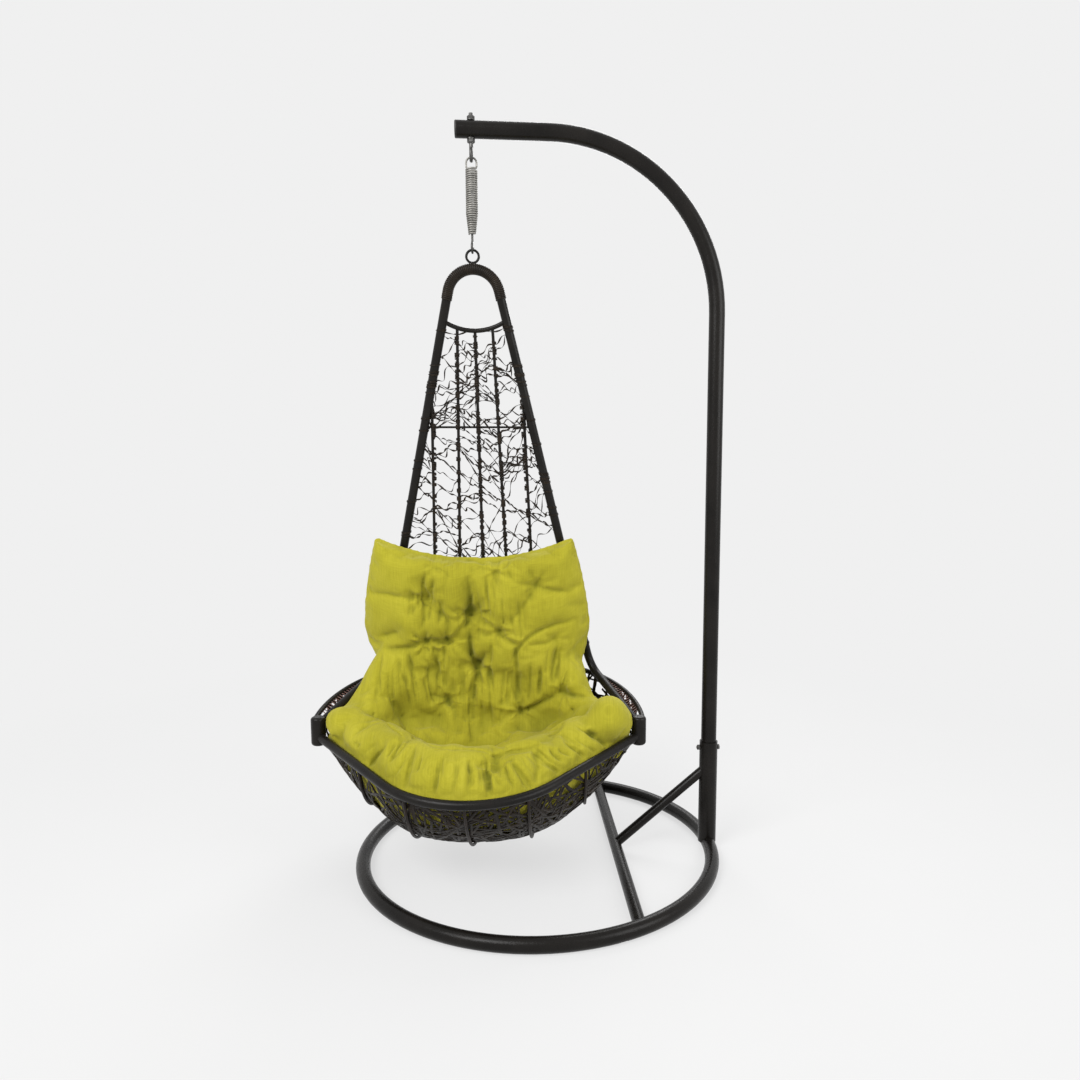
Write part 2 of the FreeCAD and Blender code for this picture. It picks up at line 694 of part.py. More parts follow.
# Top sleeve and ring
top_arc = frame_path[3]
tail = size("sleeve_tail")
sleeve_ends = [top_arc.valueAt(end) for end in (top_arc.FirstParameter, top_arc.LastParameter)]
apex = in_back(0, apex_drop)
sleeve_runs = [(foot - apex).normalize() for foot in (knee, mirrored(knee))]
sleeve_path = [
    line(sleeve_ends[0] + sleeve_runs[0] * tail, sleeve_ends[0]),
    top_arc,
    line(sleeve_ends[1], sleeve_ends[1] + sleeve_runs[1] * tail),
]
sleeve_stock = bar(sleeve_path, size("sleeve_tube"))
solid("top_sleeve", sleeve_stock.cut(frame_cope), chair_place)
ring_centre = Vector(0, 0, top_ring_level - frame_top)
chair_ring = Part.makeTorus(top_ring_mean, size("top_ring_wire") / 2, ring_centre, Vector(0, 1, 0))
solid("top_ring", chair_ring.cut([bar(sleeve_path, size("sleeve_tube") + 2 * gap)]), chair_place)

# Rims of the seat, each in its own sloping plane
corner_half = size("corner_half")
front_flat = math.hypot(size("front_reach"), size("front_dip"))
front_centre = front_flat - size("front_bend")
front_slope = (math.asin(size("front_bend") / math.hypot(corner_half, front_centre))
               + math.atan2(front_centre, corner_half))


def front_point(u, out):
    """A point of the front rim's plane, out from the line between the corners."""
    share = out / front_flat
    return Vector(u, -size("front_reach") * share, seat_level - size("front_dip") * share)


def front_at(u):
    """The front rim's axis beside the middle."""
    if abs(u) < size("front_bend") * math.sin(front_slope):
        return front_point(u, front_centre + math.sqrt(size("front_bend") ** 2 - u ** 2))
    return front_point(u, (corner_half - abs(u)) * math.tan(front_slope))


front_path = rounded_path(
    [front_point(corner_half, 0), front_point(0, corner_half * math.tan(front_slope)),
     front_point(-corner_half, 0)], [size("front_bend")])
solid("front_rim", bar(front_path, size("frame_tube")).cut(corner_copes), chair_place)

rear_rise = size("knee_rise") + size("rear_over_knee") - size("rear_start_rise")
rear_flat = math.hypot(size("rear_reach"), rear_rise)
side_bend = size("rear_side_bend")
rear_half = corner_half + size("rear_out")
side_centre = rear_half - side_bend
surplus = rear_flat - side_bend
rear_set_back = (side_centre ** 2 - surplus ** 2) / (2 * surplus)
rear_bend = rear_flat + rear_set_back
rear_join = rear_bend * side_centre / math.hypot(side_centre, rear_set_back)


def rear_point(u, out):
    """A point of the rear rim's plane, out from the line between its ends."""
    share = out / rear_flat
    start = seat_level + size("rear_start_rise")
    return Vector(u, size("rear_reach") * share, start + rear_rise * share)


def rear_at(u):
    """The rear rim's axis beside the middle: a wide arc between two tighter ones."""
    if abs(u) < rear_join:
        return rear_point(u, math.sqrt(rear_bend ** 2 - u ** 2) - rear_set_back)
    return rear_point(u, math.sqrt(max(side_bend ** 2 - (abs(u) - side_centre) ** 2, 0)))


side_middle = (rear_half + rear_join) / 2
rear_path = [
    arc(rear_at(rear_half), rear_at(side_middle), rear_at(rear_join)),
    arc(rear_at(rear_join), rear_at(0), rear_at(-rear_join)),
    arc(rear_at(-rear_join), rear_at(-side_middle), rear_at(-rear_half)),
]
rear_stock = bar(rear_path, size("rear_tube"))
solid("rear_rim", rear_stock.cut(corner_copes + [frame_cope]), chair_place)
rim_copes = [bar(front_path, size("frame_tube") + 2 * gap), bar(rear_path, size("rear_tube") + 2 * gap)]

# Bars and ribs of the back
window_half = leg_half(size("window_drop"))
window_path = [arc(in_back(-window_half, size("window_drop")),
                   in_back(0, size("window_drop") + size("window_sag")),
                   in_back(window_half, size("window_drop")))]
solid("window_bar", bar(window_path, size("window_bar")).cut(frame_cope), chair_place)
window_cope = bar(window_path, size("window_bar") + 2 * gap)


def back_bar(node, drop, diameter, forward, *copes):
    half = leg_half(drop)
    stock = rod(in_back(-half, drop, forward), in_back(half, drop, forward), diameter)
    solid(node, stock.cut([frame_cope, *copes]), chair_place)
    return rod(in_back(-half, drop, forward), in_back(half, drop, forward), diameter + 2 * gap)


behind_ribs = -(size("rib_tube") + size("crossbar_tube")) / 2 - gap
back_bar("back_crossbar", size("crossbar_drop"), size("crossbar_tube"), behind_ribs)
rail_cope = back_bar("back_lower_rail", rail_drop, size("rail_tube"), 0)

rib_lines = [(-leg_half(size("outer_rib_drop")), size("outer_rib_drop"), -size("outer_rib_foot")),
             (-size("inner_rib_top"), size("window_drop"), -size("inner_rib_foot")),
             (0.0, size("window_drop") + size("window_sag"), 0.0),
             (size("inner_rib_top"), size("window_drop"), size("inner_rib_foot")),
             (leg_half(size("outer_rib_drop")), size("outer_rib_drop"), size("outer_rib_foot"))]
for number, (top_u, top_drop, foot_u) in enumerate(rib_lines, start=1):
    stock = rod(in_back(top_u, top_drop), in_back(foot_u, rail_drop), size("rib_tube"))
    pieces = stock.cut([frame_cope, window_cope, rail_cope]).Solids
    solid(f"back_rib_{number}", max(pieces, key=lambda piece: piece.Volume), chair_place)

# Back panel: an open diamond mesh across the front of the ribs
panel_back = size("rib_tube") / 2 + gap
mesh = size("weave_mesh")
rise = size("weave_mesh_rise")
strand = size("weave_strand")


def diamond(u, drop):
    """One gap of the mesh."""
    wide = mesh / 2 - strand / 2
    tall = wide * rise / mesh
    corners = [in_back(u - wide, drop, panel_back), in_back(u, drop - tall, panel_back),
               in_back(u + wide, drop, panel_back), in_back(u, drop + tall, panel_back)]
    return Part.makePolygon(corners + corners[:1])


def panel_face(inset):
    """The panel's outline between the legs, drawn in by an inset."""
    top = size("window_drop") + (size("window_sag") + inset if inset else 0)
    foot = rail_drop - inset
    corners = [in_back(side * (leg_half(drop) - inset), drop, panel_back)
               for side, drop in ((-1, top), (1, top), (1, foot), (-1, foot))]
    return Part.Face(Part.makePolygon(corners + corners[:1]))


columns = math.ceil(leg_half(rail_drop) / mesh)
rows = math.ceil((rail_drop - size("window_drop")) / rise)
diamonds = []
for row in range(2 * rows + 1):
    for column in range(-columns, columns + 1):
        drop = size("window_drop") + row * rise / 2
        diamonds.append(Part.Face(diamond((column + row % 2 / 2) * mesh, drop)))
clipped = Part.makeCompound(diamonds).common(panel_face(size("frame_tube") / 2 + strand))
gaps = [face for face in clipped.Faces if face.Area > strand ** 2]
panel = panel_face(0).cut(gaps).extrude(to_front * size("weave_thickness"))
panel = panel.cut([frame_cope, window_cope, rail_cope])
solid("back_weave", max(panel.Solids, key=lambda piece: piece.Volume), chair_place)
print(f"back panel: {len(gaps)} gaps")


# Bowl: a shell hung between the rims, each cross-section an arc through both rims and the keel

BOWL_FULLNESS = 3.2


def keel_at(u):
    swell = (abs(u) / corner_half) ** BOWL_FULLNESS
    return Vector(u, (front_at(u).y + rear_at(u).y) / 2, seat_level - size("bowl_depth") * (1 - swell))


def hull_at(u):
    """The circle of the bowl's outside at a cross-section."""
    return arc(front_at(u), keel_at(u), rear_at(u)).Curve


def toward(centre, point, radius):
    return centre + (point - centre).normalize() * radius


def shell_section(u):
    hull = hull_at(u)
    inner = hull.Radius - size("bowl_wall")
    outside = [front_at(u), keel_at(u), rear_at(u)]
    inside = [toward(hull.Center, point, inner) for point in outside]
    return Part.Wire([arc(*outside), line(outside[2], inside[2]),
                      arc(inside[2], inside[1], inside[0]), line(inside[0], outside[0])])


RIB_STATIONS = (0.0, 0.34, 0.66)
bowl_stations = sorted({side * share * corner_half
                        for share in RIB_STATIONS + (0.18, 0.51, 0.8, 0.91, 0.995)
                        for side in (-1, 1)})
bowl_stock = Part.makeLoft([shell_section(u) for u in bowl_stations], True, False)
bowl = bowl_stock.cut(rim_copes + corner_copes + [frame_cope])
solid("bowl_weave", max(bowl.Solids, key=lambda piece: piece.Volume), chair_place)

rib_stations = sorted({side * share * corner_half for share in RIB_STATIONS for side in (-1, 1)})
for number, u in enumerate(rib_stations, start=1):
    hull = hull_at(u)
    flank = (keel_at(abs(u) + 1).z - keel_at(abs(u)).z)
    stand_off = (size("rib_tube") / 2 + size("bowl_rib_gap")) * math.hypot(1, flank)
    rib_points = [toward(hull.Center, point, hull.Radius + stand_off)
                  for point in (front_at(u), keel_at(u), rear_at(u))]
    rib = bar([arc(*rib_points)], size("rib_tube")).cut(rim_copes)
    solid(f"bowl_rib_{number}", max(rib.Solids, key=lambda piece: piece.Volume), chair_place)

# Side lacing: close parallel strands from each side bar out to the rear rim
LACING_FROM = 0.14
LACING_SPAN = 0.66
LACING_SLANT = 0.06
lacing_count = int(size("lacing_count"))
for name, side in (("left", -1), ("right", 1)):
    strands = []
    for step in range(lacing_count):
        share = LACING_FROM + LACING_SPAN * step / (lacing_count - 1)
        on_bar = bar_end + (knee - bar_end) * share
        on_rim = rear_at(rear_half - (rear_half - knee.x) * (share + LACING_SLANT) ** 2)
        ends = [Vector(side * point.x, point.y, point.z) for point in (on_bar, on_rim)]
        strand_stock = rod(*ends, size("lacing_tube")).cut([frame_cope, rim_copes[1]])
        strands.append(max(strand_stock.Solids, key=lambda piece: piece.Volume))
    solid(f"side_lacing_{name}", Part.makeCompound(strands), chair_place)


# Cushion: a back pad against the frame and a seat pad in the bowl

def smooth(share):
    return share * share * (3 - 2 * share)


def back_half(rise_above):
    """Half the back pad's width at a height above the knees."""
    if rise_above < size("back_wide_rise"):
        share = (rise_above - size("back_low_rise")) / (size("back_wide_rise") - size("back_low_rise"))
        return size("back_low_half") + (size("back_wide_half") - size("back_low_half")) * smooth(share)
    share = (rise_above - size("back_wide_rise")) / (size("back_top_rise") - size("back_wide_rise"))
    return size("back_wide_half") + (size("back_top_half") - size("back_wide_half")) * share ** 1.5


# The crown follows this stretch of a half wave from the pad's foot to its top
CROWN_FROM = 0.35
CROWN_SPAN = 0.5


def back_crown(rise_above):
    """The back pad's thickness over its crown: drawn in towards both ends."""
    share = (rise_above - size("back_low_rise")) / (size("back_top_rise") - size("back_low_rise"))
    swell = math.sin(math.pi * (CROWN_FROM + CROWN_SPAN * share))
    return size("back_edge") + (size("back_crown") - size("back_edge")) * swell


pad_back = size("frame_tube") / 2 + soft


def pad_point(u, rise_above, thick):
    return in_back(u + size("back_shift"), knee_drop - rise_above, pad_back + thick)


def crown_arc(rise_above):
    """One half of the back pad's crowned front, from its side to the middle channel."""
    half = back_half(rise_above)
    crown = back_crown(rise_above)
    side = half - size("back_edge_round")
    channel = max(crown - size("back_channel"), size("back_edge"))
    return [(side, size("back_edge")), (half / 2, crown), (0.0, channel)]


def back_section(rise_above):
    half = back_half(rise_above)
    side = half - size("back_edge_round")
    edge = size("back_edge")

    def mapped(points, sign):
        return [pad_point(sign * u, rise_above, thick) for u, thick in points]

    flank = [(side, 0.0), (half, edge / 2), (side, edge)]
    right_flank = mapped(flank, 1)
    right_crown = mapped(crown_arc(rise_above), 1)
    left_crown = mapped(crown_arc(rise_above), -1)
    left_flank = mapped(flank, -1)
    return Part.Wire([arc(*right_flank), arc(*right_crown), arc(*reversed(left_crown)),
                      arc(*reversed(left_flank)), line(left_flank[0], right_flank[0])])


BACK_SECTIONS = 8
back_rise = size("back_top_rise") - size("back_low_rise")
back_heights = [size("back_low_rise") + back_rise * step / BACK_SECTIONS for step in range(BACK_SECTIONS + 1)]
back_pad = Part.makeLoft([back_section(height) for height in back_heights], True, False)
scoop_foot = pad_point(0, size("back_scoop_rise") + size("back_scoop"), -size("back_crown"))
scoop = Part.makeCylinder(size("back_scoop"), 4 * size("back_crown"), scoop_foot, to_front)


def crown_height(u, rise_above):
    """Thickness of the back pad beside the middle."""
    points = [Vector(side, thick, 0) for side, thick in crown_arc(rise_above)]
    round_top = arc(*points).Curve
    return round_top.Center.y + math.sqrt(round_top.Radius ** 2 - (abs(u) - round_top.Center.x) ** 2)


def tuft(place, out):
    """A round dimple where the cover is stitched down."""
    ball = size("tuft_ball")
    return Part.makeSphere(ball, place + out * (ball - size("tuft_depth")))


TUFT_ROWS = (0.42, 0.61, 0.8)
back_tufts = []
for row in TUFT_ROWS:
    height = size("back_low_rise") + back_rise * row
    for side in (-1, 1):
        u = side * back_half(height) / 2
        back_tufts.append(tuft(pad_point(u, height, crown_height(u, height)), to_front))
solid("back_cushion", back_pad.cut([scoop, *back_tufts]), chair_place)

pad_front = pad_back + size("back_crown") + size("seat_room")


# The hollow fades out towards the seat's corners
PIT_FADE = 0.95
seat_half = corner_half - size("seat_end_room")
bar_run = knee.y / (corner_half - knee.x)
bar_room = (size("frame_tube") / 2 + size("bar_room")) * math.hypot(1, bar_run)


def seat_section(u):
    """One slice of the seat pad: front roll, hollow, rear side and bowl side."""
    share = abs(u) / seat_half
    hull = hull_at(u)
    inner = hull.Radius - size("bowl_wall") - size("seat_room")
    bend_share = abs(u) / (size("front_bend") * math.sin(front_slope))
    rim_run = math.tan(math.asin(abs(u) / size("front_bend"))) if bend_share < 1 else math.tan(front_slope)
    rim_side = (size("frame_tube") / 2 + size("bar_room")) * math.hypot(1, rim_run)
    front_low = front_at(u) + Vector(0, rim_side, 0)
    lift = size("bolster_rise") * (share ** 2 if share < 1 else size("bolster_end"))
    rear_z = seat_level + size("roll_rise") + lift
    beside_bar = (corner_half - abs(u)) * bar_run - bar_room
    before_back = in_back(0, -rear_z).y - pad_front / math.cos(lean)
    apart = math.hypot(beside_bar - before_back, size("seat_corner"))
    rear_top = Vector(u, (beside_bar + before_back - apart) / 2, rear_z)
    leaning = (1 + (beside_bar - before_back) / apart) / 2
    fall = (down_back * leaning - Vector(0, 0, 1 - leaning)).normalize()
    reach = rear_top - hull.Center
    along = reach.dot(fall)
    rear_low = rear_top + fall * (math.sqrt(along ** 2 - reach.dot(reach) + inner ** 2) - along)
    low = Vector(u, (front_low.y + rear_low.y) / 2, 0)
    low.z = hull.Center.z - math.sqrt(inner ** 2 - (low.y - hull.Center.y) ** 2)
    roll_room = min(size("roll_depth"), (rear_top.y - front_low.y) / 2)
    roll_back = Vector(u, front_low.y + roll_room, rear_z)
    chord = roll_back - front_low
    outward = Vector(0, -chord.z, chord.y).normalize()
    roll = (front_low + roll_back) / 2 + outward * (chord.Length * size("roll_bulge") * (1 - share / 2))
    pit = (roll_back + rear_top) / 2 - Vector(0, 0, size("pit_sag") * (1 - share * PIT_FADE))
    return Part.Wire([arc(front_low, roll, roll_back), arc(roll_back, pit, rear_top),
                      line(rear_top, rear_low), arc(rear_low, low, front_low)])


seat_stations = [u for u in bowl_stations if abs(u) < seat_half - size("frame_tube")]
seat_stations = [-seat_half, *seat_stations, seat_half]
seat_pad = Part.makeLoft([seat_section(u) for u in seat_stations], True, False)
solid("seat_cushion", seat_pad, chair_place)

# Every object is sound before anything is written
doc.recompute()
for item in doc.Objects:
    if {"Invalid", "Error"} & set(item.State):
        raise RuntimeError(f"{item.Label} did not build: {item.State}")
for node, item in NODES:
    if item.Shape.isNull() or not item.Shape.isValid() or not item.Shape.Solids:
        raise RuntimeError(f"{node} is not a sound solid")

os.makedirs("parts", exist_ok=True)
for node, item in NODES:
    item.Shape.exportStep(f"parts/{node}.step")
    box = item.Shape.BoundBox
    print(f"{node}: {len(item.Shape.Solids)} solid, {item.Shape.Volume / 1000:.1f} cm3, "
          f"z {box.ZMin:.1f} to {box.ZMax:.1f}")
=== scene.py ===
"""Wicker swing chair: the looks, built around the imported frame, in metres."""
import json
import math
import random

import bmesh
import bpy
import numpy as np
from mathutils import Euler, Matrix, Quaternion, Vector
from mathutils.bvhtree import BVHTree


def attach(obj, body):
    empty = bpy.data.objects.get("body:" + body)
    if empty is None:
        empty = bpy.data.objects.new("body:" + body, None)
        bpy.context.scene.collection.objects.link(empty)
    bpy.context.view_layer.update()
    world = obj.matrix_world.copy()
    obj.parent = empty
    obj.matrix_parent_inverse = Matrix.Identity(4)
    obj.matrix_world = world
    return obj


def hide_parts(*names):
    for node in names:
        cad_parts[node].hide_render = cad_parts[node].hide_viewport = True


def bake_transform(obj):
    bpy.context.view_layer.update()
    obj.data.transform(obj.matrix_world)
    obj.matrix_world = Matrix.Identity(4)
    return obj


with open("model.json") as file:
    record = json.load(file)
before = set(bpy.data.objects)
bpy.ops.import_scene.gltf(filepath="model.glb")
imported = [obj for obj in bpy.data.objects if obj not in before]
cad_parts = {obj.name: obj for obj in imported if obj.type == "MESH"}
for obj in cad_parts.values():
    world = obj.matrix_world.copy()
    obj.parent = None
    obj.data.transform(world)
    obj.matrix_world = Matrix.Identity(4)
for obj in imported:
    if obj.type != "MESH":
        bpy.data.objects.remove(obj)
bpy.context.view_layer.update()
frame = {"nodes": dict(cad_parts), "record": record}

nodes = frame["nodes"]
scene = bpy.context.scene
MM = 0.001

# Chair frame: u to the chair's right, w to its rear, z up from the floor
HANG = Vector((-0.164, 0, 0))
FRAME_TOP = 1.58692
CHAIR_TURN = math.radians(-4.5)
BACK_LEAN = math.radians(12.8)
RIGHT = Vector((math.cos(CHAIR_TURN), math.sin(CHAIR_TURN), 0))
REAR = Vector((-math.sin(CHAIR_TURN), math.cos(CHAIR_TURN), 0))
UP = Vector((0, 0, 1))
DOWN_BACK = REAR * math.sin(BACK_LEAN) - UP * math.cos(BACK_LEAN)
TO_FRONT = -REAR * math.cos(BACK_LEAN) - UP * math.sin(BACK_LEAN)

# The radius of the frame's top bend, how far its legs lean out, and the numbers of the ribs
TOP_BEND = 0.068
LEG_SLOPE = math.radians(12.89)
RIB_NUMBERS = range(1, 6)


def chair_point(u, w, z):
    return HANG + RIGHT * u + REAR * w + UP * z


def back_point(u, down, forward=0.0):
    """A point in the plane of the back frame, measured down from the frame's top."""
    return HANG + UP * FRAME_TOP + RIGHT * u + DOWN_BACK * down + TO_FRONT * forward


# Materials

def node(tree, kind, sockets=None, **settings):
    item = tree.nodes.new(kind)
    for key, value in settings.items():
        setattr(item, key, value)
    for key, value in (sockets or {}).items():
        if isinstance(value, bpy.types.NodeSocket):
            tree.links.new(value, item.inputs[key])
        else:
            item.inputs[key].default_value = value
    return item


def new_material(name, **constants):
    made = bpy.data.materials.new(name)
    made.use_nodes = True
    shader = made.node_tree.nodes["Principled BSDF"]
    for key, value in constants.items():
        shader.inputs[key.replace("_", " ")].default_value = value
    return made, made.node_tree, shader


def noise(tree, place, scale, detail=3.0, roughness=0.55):
    return node(tree, "ShaderNodeTexNoise", {
        "Vector": place, "Scale": scale, "Detail": detail, "Roughness": roughness}).outputs["Fac"]


def threads(tree, place, scale, direction):
    """Even bands with a slight waver, for the threads of a weave."""
    return node(tree, "ShaderNodeTexWave", {
        "Vector": place, "Scale": scale, "Distortion": 0.6, "Detail": 1.0, "Detail Scale": 2.0},
        wave_type="BANDS", bands_direction=direction).outputs["Fac"]


def ramp(tree, factor, stops):
    item = node(tree, "ShaderNodeValToRGB", {"Fac": factor})
    steps = item.color_ramp.elements
    while len(steps) < len(stops):
        steps.new(0.5)
    for step, (place, colour) in zip(steps, stops):
        step.position = place
        step.color = (*colour, 1)
    return item.outputs["Color"]


def spread(tree, factor, low, high, start=0.25, end=0.75):
    return node(tree, "ShaderNodeMapRange", {
        "Value": factor, "From Min": start, "From Max": end,
        "To Min": low, "To Max": high}).outputs["Result"]


def math_node(tree, operation, first, second):
    return node(tree, "ShaderNodeMath", {0: first, 1: second}, operation=operation).outputs["Value"]


def weighted(tree, *parts):
    """The sum of some factors, each times its share."""
    scaled = [math_node(tree, "MULTIPLY", factor, share) for factor, share in parts]
    total = scaled[0]
    for part in scaled[1:]:
        total = math_node(tree, "ADD", total, part)
    return total


def measured(tree, place, axis):
    """How far a place lies along an axis."""
    return node(tree, "ShaderNodeVectorMath", {0: place, 1: axis},
                operation="DOT_PRODUCT").outputs["Value"]


def bump(tree, shader, height, distance, strength=1.0):
    relief = node(tree, "ShaderNodeBump", {"Height": height, "Distance": distance, "Strength": strength})
    tree.links.new(relief.outputs["Normal"], shader.inputs["Normal"])


def object_place(tree):
    return node(tree, "ShaderNodeTexCoord").outputs["Object"]


def stretched(tree, place, scale):
    return node(tree, "ShaderNodeMapping", {"Vector": place, "Scale": scale}).outputs["Vector"]


def paint(name, dark, light, smooth, rough):
    """Powder coat: a soft cloud of tone, orange peel and dulled patches."""
    made, tree, shader = new_material(name, Specular_IOR_Level=0.16)
    place = object_place(tree)
    cloud = noise(tree, place, 9.0, 6.0)
    tree.links.new(ramp(tree, cloud, [(0.3, dark), (0.72, light)]), shader.inputs["Base Color"])
    scuffs = noise(tree, place, 55.0, 5.0, 0.7)
    tree.links.new(spread(tree, scuffs, smooth, rough), shader.inputs["Roughness"])
    peel = noise(tree, place, 520.0, 2.0)
    bump(tree, shader, peel, 0.0006, 0.5)
    return made


def metal(name, dark, light, smooth, rough, grain):
    """Plated or drawn steel: a cloud of tone and a fine grain along one axis."""
    made, tree, shader = new_material(name, Metallic=0.92)
    place = object_place(tree)
    cloud = noise(tree, place, 60.0, 5.0, 0.65)
    tree.links.new(ramp(tree, cloud, [(0.3, dark), (0.7, light)]), shader.inputs["Base Color"])
    fine = noise(tree, stretched(tree, place, grain), 30.0, 4.0, 0.7)
    tree.links.new(spread(tree, fine, smooth, rough), shader.inputs["Roughness"])
    bump(tree, shader, fine, 0.0002, 0.5)
    return made


def moulded(name, dark, light):
    """Moulded plastic with a fine grain."""
    made, tree, shader = new_material(name)
    place = object_place(tree)
    cloud = noise(tree, place, 80.0, 4.0)
    tree.links.new(ramp(tree, cloud, [(0.3, dark), (0.7, light)]), shader.inputs["Base Color"])
    grain = noise(tree, place, 900.0, 2.0)
    tree.links.new(spread(tree, grain, 0.42, 0.6), shader.inputs["Roughness"])
    bump(tree, shader, grain, 0.0002, 0.6)
    return made


def wicker(name, dark, middle, light, along_strand):
    """Extruded strand: fine lengthwise ribs, brown tones that drift from strand to strand."""
    made, tree, shader = new_material(name, Specular_IOR_Level=0.17)
    if along_strand:
        strand_place = node(tree, "ShaderNodeUVMap", uv_map="UVMap").outputs["UV"]
        ribs_place = stretched(tree, strand_place, (14.0, 900.0, 1.0))
    else:
        ribs_place = stretched(tree, object_place(tree), (160.0, 160.0, 160.0))
    drift = noise(tree, object_place(tree), 26.0, 4.0, 0.6)
    ribs = noise(tree, ribs_place, 1.0, 3.0, 0.6)
    tone = weighted(tree, (drift, 0.62), (ribs, 0.38))
    colour = ramp(tree, tone, [(0.32, dark), (0.5, middle), (0.68, light)])
    tree.links.new(colour, shader.inputs["Base Color"])
    tree.links.new(spread(tree, ribs, 0.34, 0.58), shader.inputs["Roughness"])
    bump(tree, shader, ribs, 0.0005, 0.7)
    return made


CLOTH_DARK = (0.305, 0.275, 0.014)
CLOTH_MIDDLE = (0.405, 0.368, 0.021)
CLOTH_LIGHT = (0.500, 0.452, 0.038)
CLOTH_FOLD_SHADE = (0.085, 0.098, 0.005, 1)
CLOTH_SHEEN = (0.9, 0.88, 0.45, 1)


def fabric(name):
    """Slub cloth: long uneven yarns up the cushion, a plain weave, and painted shade in its folds and
    hollows.
    """
    made, tree, shader = new_material(name, Roughness=0.86, Sheen_Weight=0.22, Sheen_Roughness=0.45,
                                      Sheen_Tint=CLOTH_SHEEN, Specular_IOR_Level=0.25)
    place = object_place(tree)
    yarn_place = node(tree, "ShaderNodeCombineXYZ", {
        "X": measured(tree, place, RIGHT), "Y": measured(tree, place, UP - REAR)}).outputs["Vector"]
    slub = noise(tree, stretched(tree, yarn_place, (420.0, 19.0, 1.0)), 1.0, 4.0, 0.65)
    weft = noise(tree, stretched(tree, yarn_place, (24.0, 420.0, 1.0)), 1.0, 3.0, 0.6)
    fade = noise(tree, place, 6.5, 3.0)
    tone = weighted(tree, (slub, 0.38), (weft, 0.27), (fade, 0.35))
    body = ramp(tree, tone, [(0.34, CLOTH_DARK), (0.5, CLOTH_MIDDLE), (0.66, CLOTH_LIGHT)])
    # Painted shade: the fold share mixes the cloth towards a dark green in folds and hollows
    fold = node(tree, "ShaderNodeAttribute", attribute_name="fold").outputs["Fac"]
    fold_shaded = node(tree, "ShaderNodeMix", {"Factor": fold}, data_type="RGBA", blend_type="MIX")
    for socket in fold_shaded.inputs:
        if socket.type == "RGBA" and socket.name == "A":
            tree.links.new(body, socket)
        if socket.type == "RGBA" and socket.name == "B":
            socket.default_value = CLOTH_FOLD_SHADE
    colour = [socket for socket in fold_shaded.outputs if socket.type == "RGBA"][0]
    tree.links.new(colour, shader.inputs["Base Color"])
    warp_threads = threads(tree, yarn_place, 190.0, "X")
    weft_threads = threads(tree, yarn_place, 210.0, "Y")
    relief = weighted(tree, (warp_threads, 0.3), (weft_threads, 0.3), (slub, 0.5))
    bump(tree, shader, relief, 0.0009, 0.6)
    return made


STAND_PAINT = paint("stand_paint", (0.0050, 0.0044, 0.0038), (0.0130, 0.0112, 0.0096), 0.17, 0.34)
FRAME_PAINT = paint("frame_paint", (0.0056, 0.0050, 0.0044), (0.0150, 0.0130, 0.0112), 0.20, 0.40)
ZINC = metal("zinc", (0.055, 0.054, 0.052), (0.150, 0.148, 0.142), 0.40, 0.60, (1, 1, 3))
SPRING_STEEL = metal("spring_steel", (0.21, 0.205, 0.190), (0.37, 0.36, 0.335), 0.46, 0.66, (1, 1, 6))
END_CAP = moulded("end_cap", (0.010, 0.009, 0.008), (0.022, 0.020, 0.018))
WICKER_SOLID = wicker("wicker_solid", (0.007, 0.005, 0.004), (0.016, 0.0105, 0.0078),
                      (0.034, 0.022, 0.016), False)
WICKER = wicker("wicker", (0.007, 0.0052, 0.0038), (0.015, 0.0105, 0.0070), (0.034, 0.023, 0.014), True)
LACING = wicker("lacing", (0.090, 0.046, 0.038), (0.170, 0.095, 0.078), (0.280, 0.175, 0.145), False)
FABRIC = fabric("cushion")

FINISHES = {
    "stand_paint": STAND_PAINT,
    "end_cap": END_CAP,
    "zinc": ZINC,
    "spring_steel": SPRING_STEEL,
    "frame_paint": FRAME_PAINT,
    "wicker": WICKER_SOLID,
    "cushion": FABRIC,
}


def dress(item, finish):
    item.data.materials.clear()
    item.data.materials.append(finish)


for entry in frame["record"]["subparts"]:
    dressed = nodes[entry["node"]]
    dress(dressed, FINISHES[entry["material_slot"]])
    dressed.data.polygons.foreach_set("material_index", [0] * len(dressed.data.polygons))
for name in ("side_lacing_left", "side_lacing_right"):
    dress(nodes[name], LACING)
for number in RIB_NUMBERS:
    dress(nodes[f"bowl_rib_{number}"], WICKER_SOLID)

# Spring: the imported coil as a piece of its own, between the eye and the swivel's seat
coil = bpy.data.objects.new("spring_coil", nodes["spring"].data.copy())
scene.collection.objects.link(coil)
dress(coil, SPRING_STEEL)
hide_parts("spring")
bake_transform(coil)

# Strands: flat oval ribbons gathered into one mesh
SQUARENESS = 0.7
FULL_TURN = 6.28
strand_dice = random.Random(11)


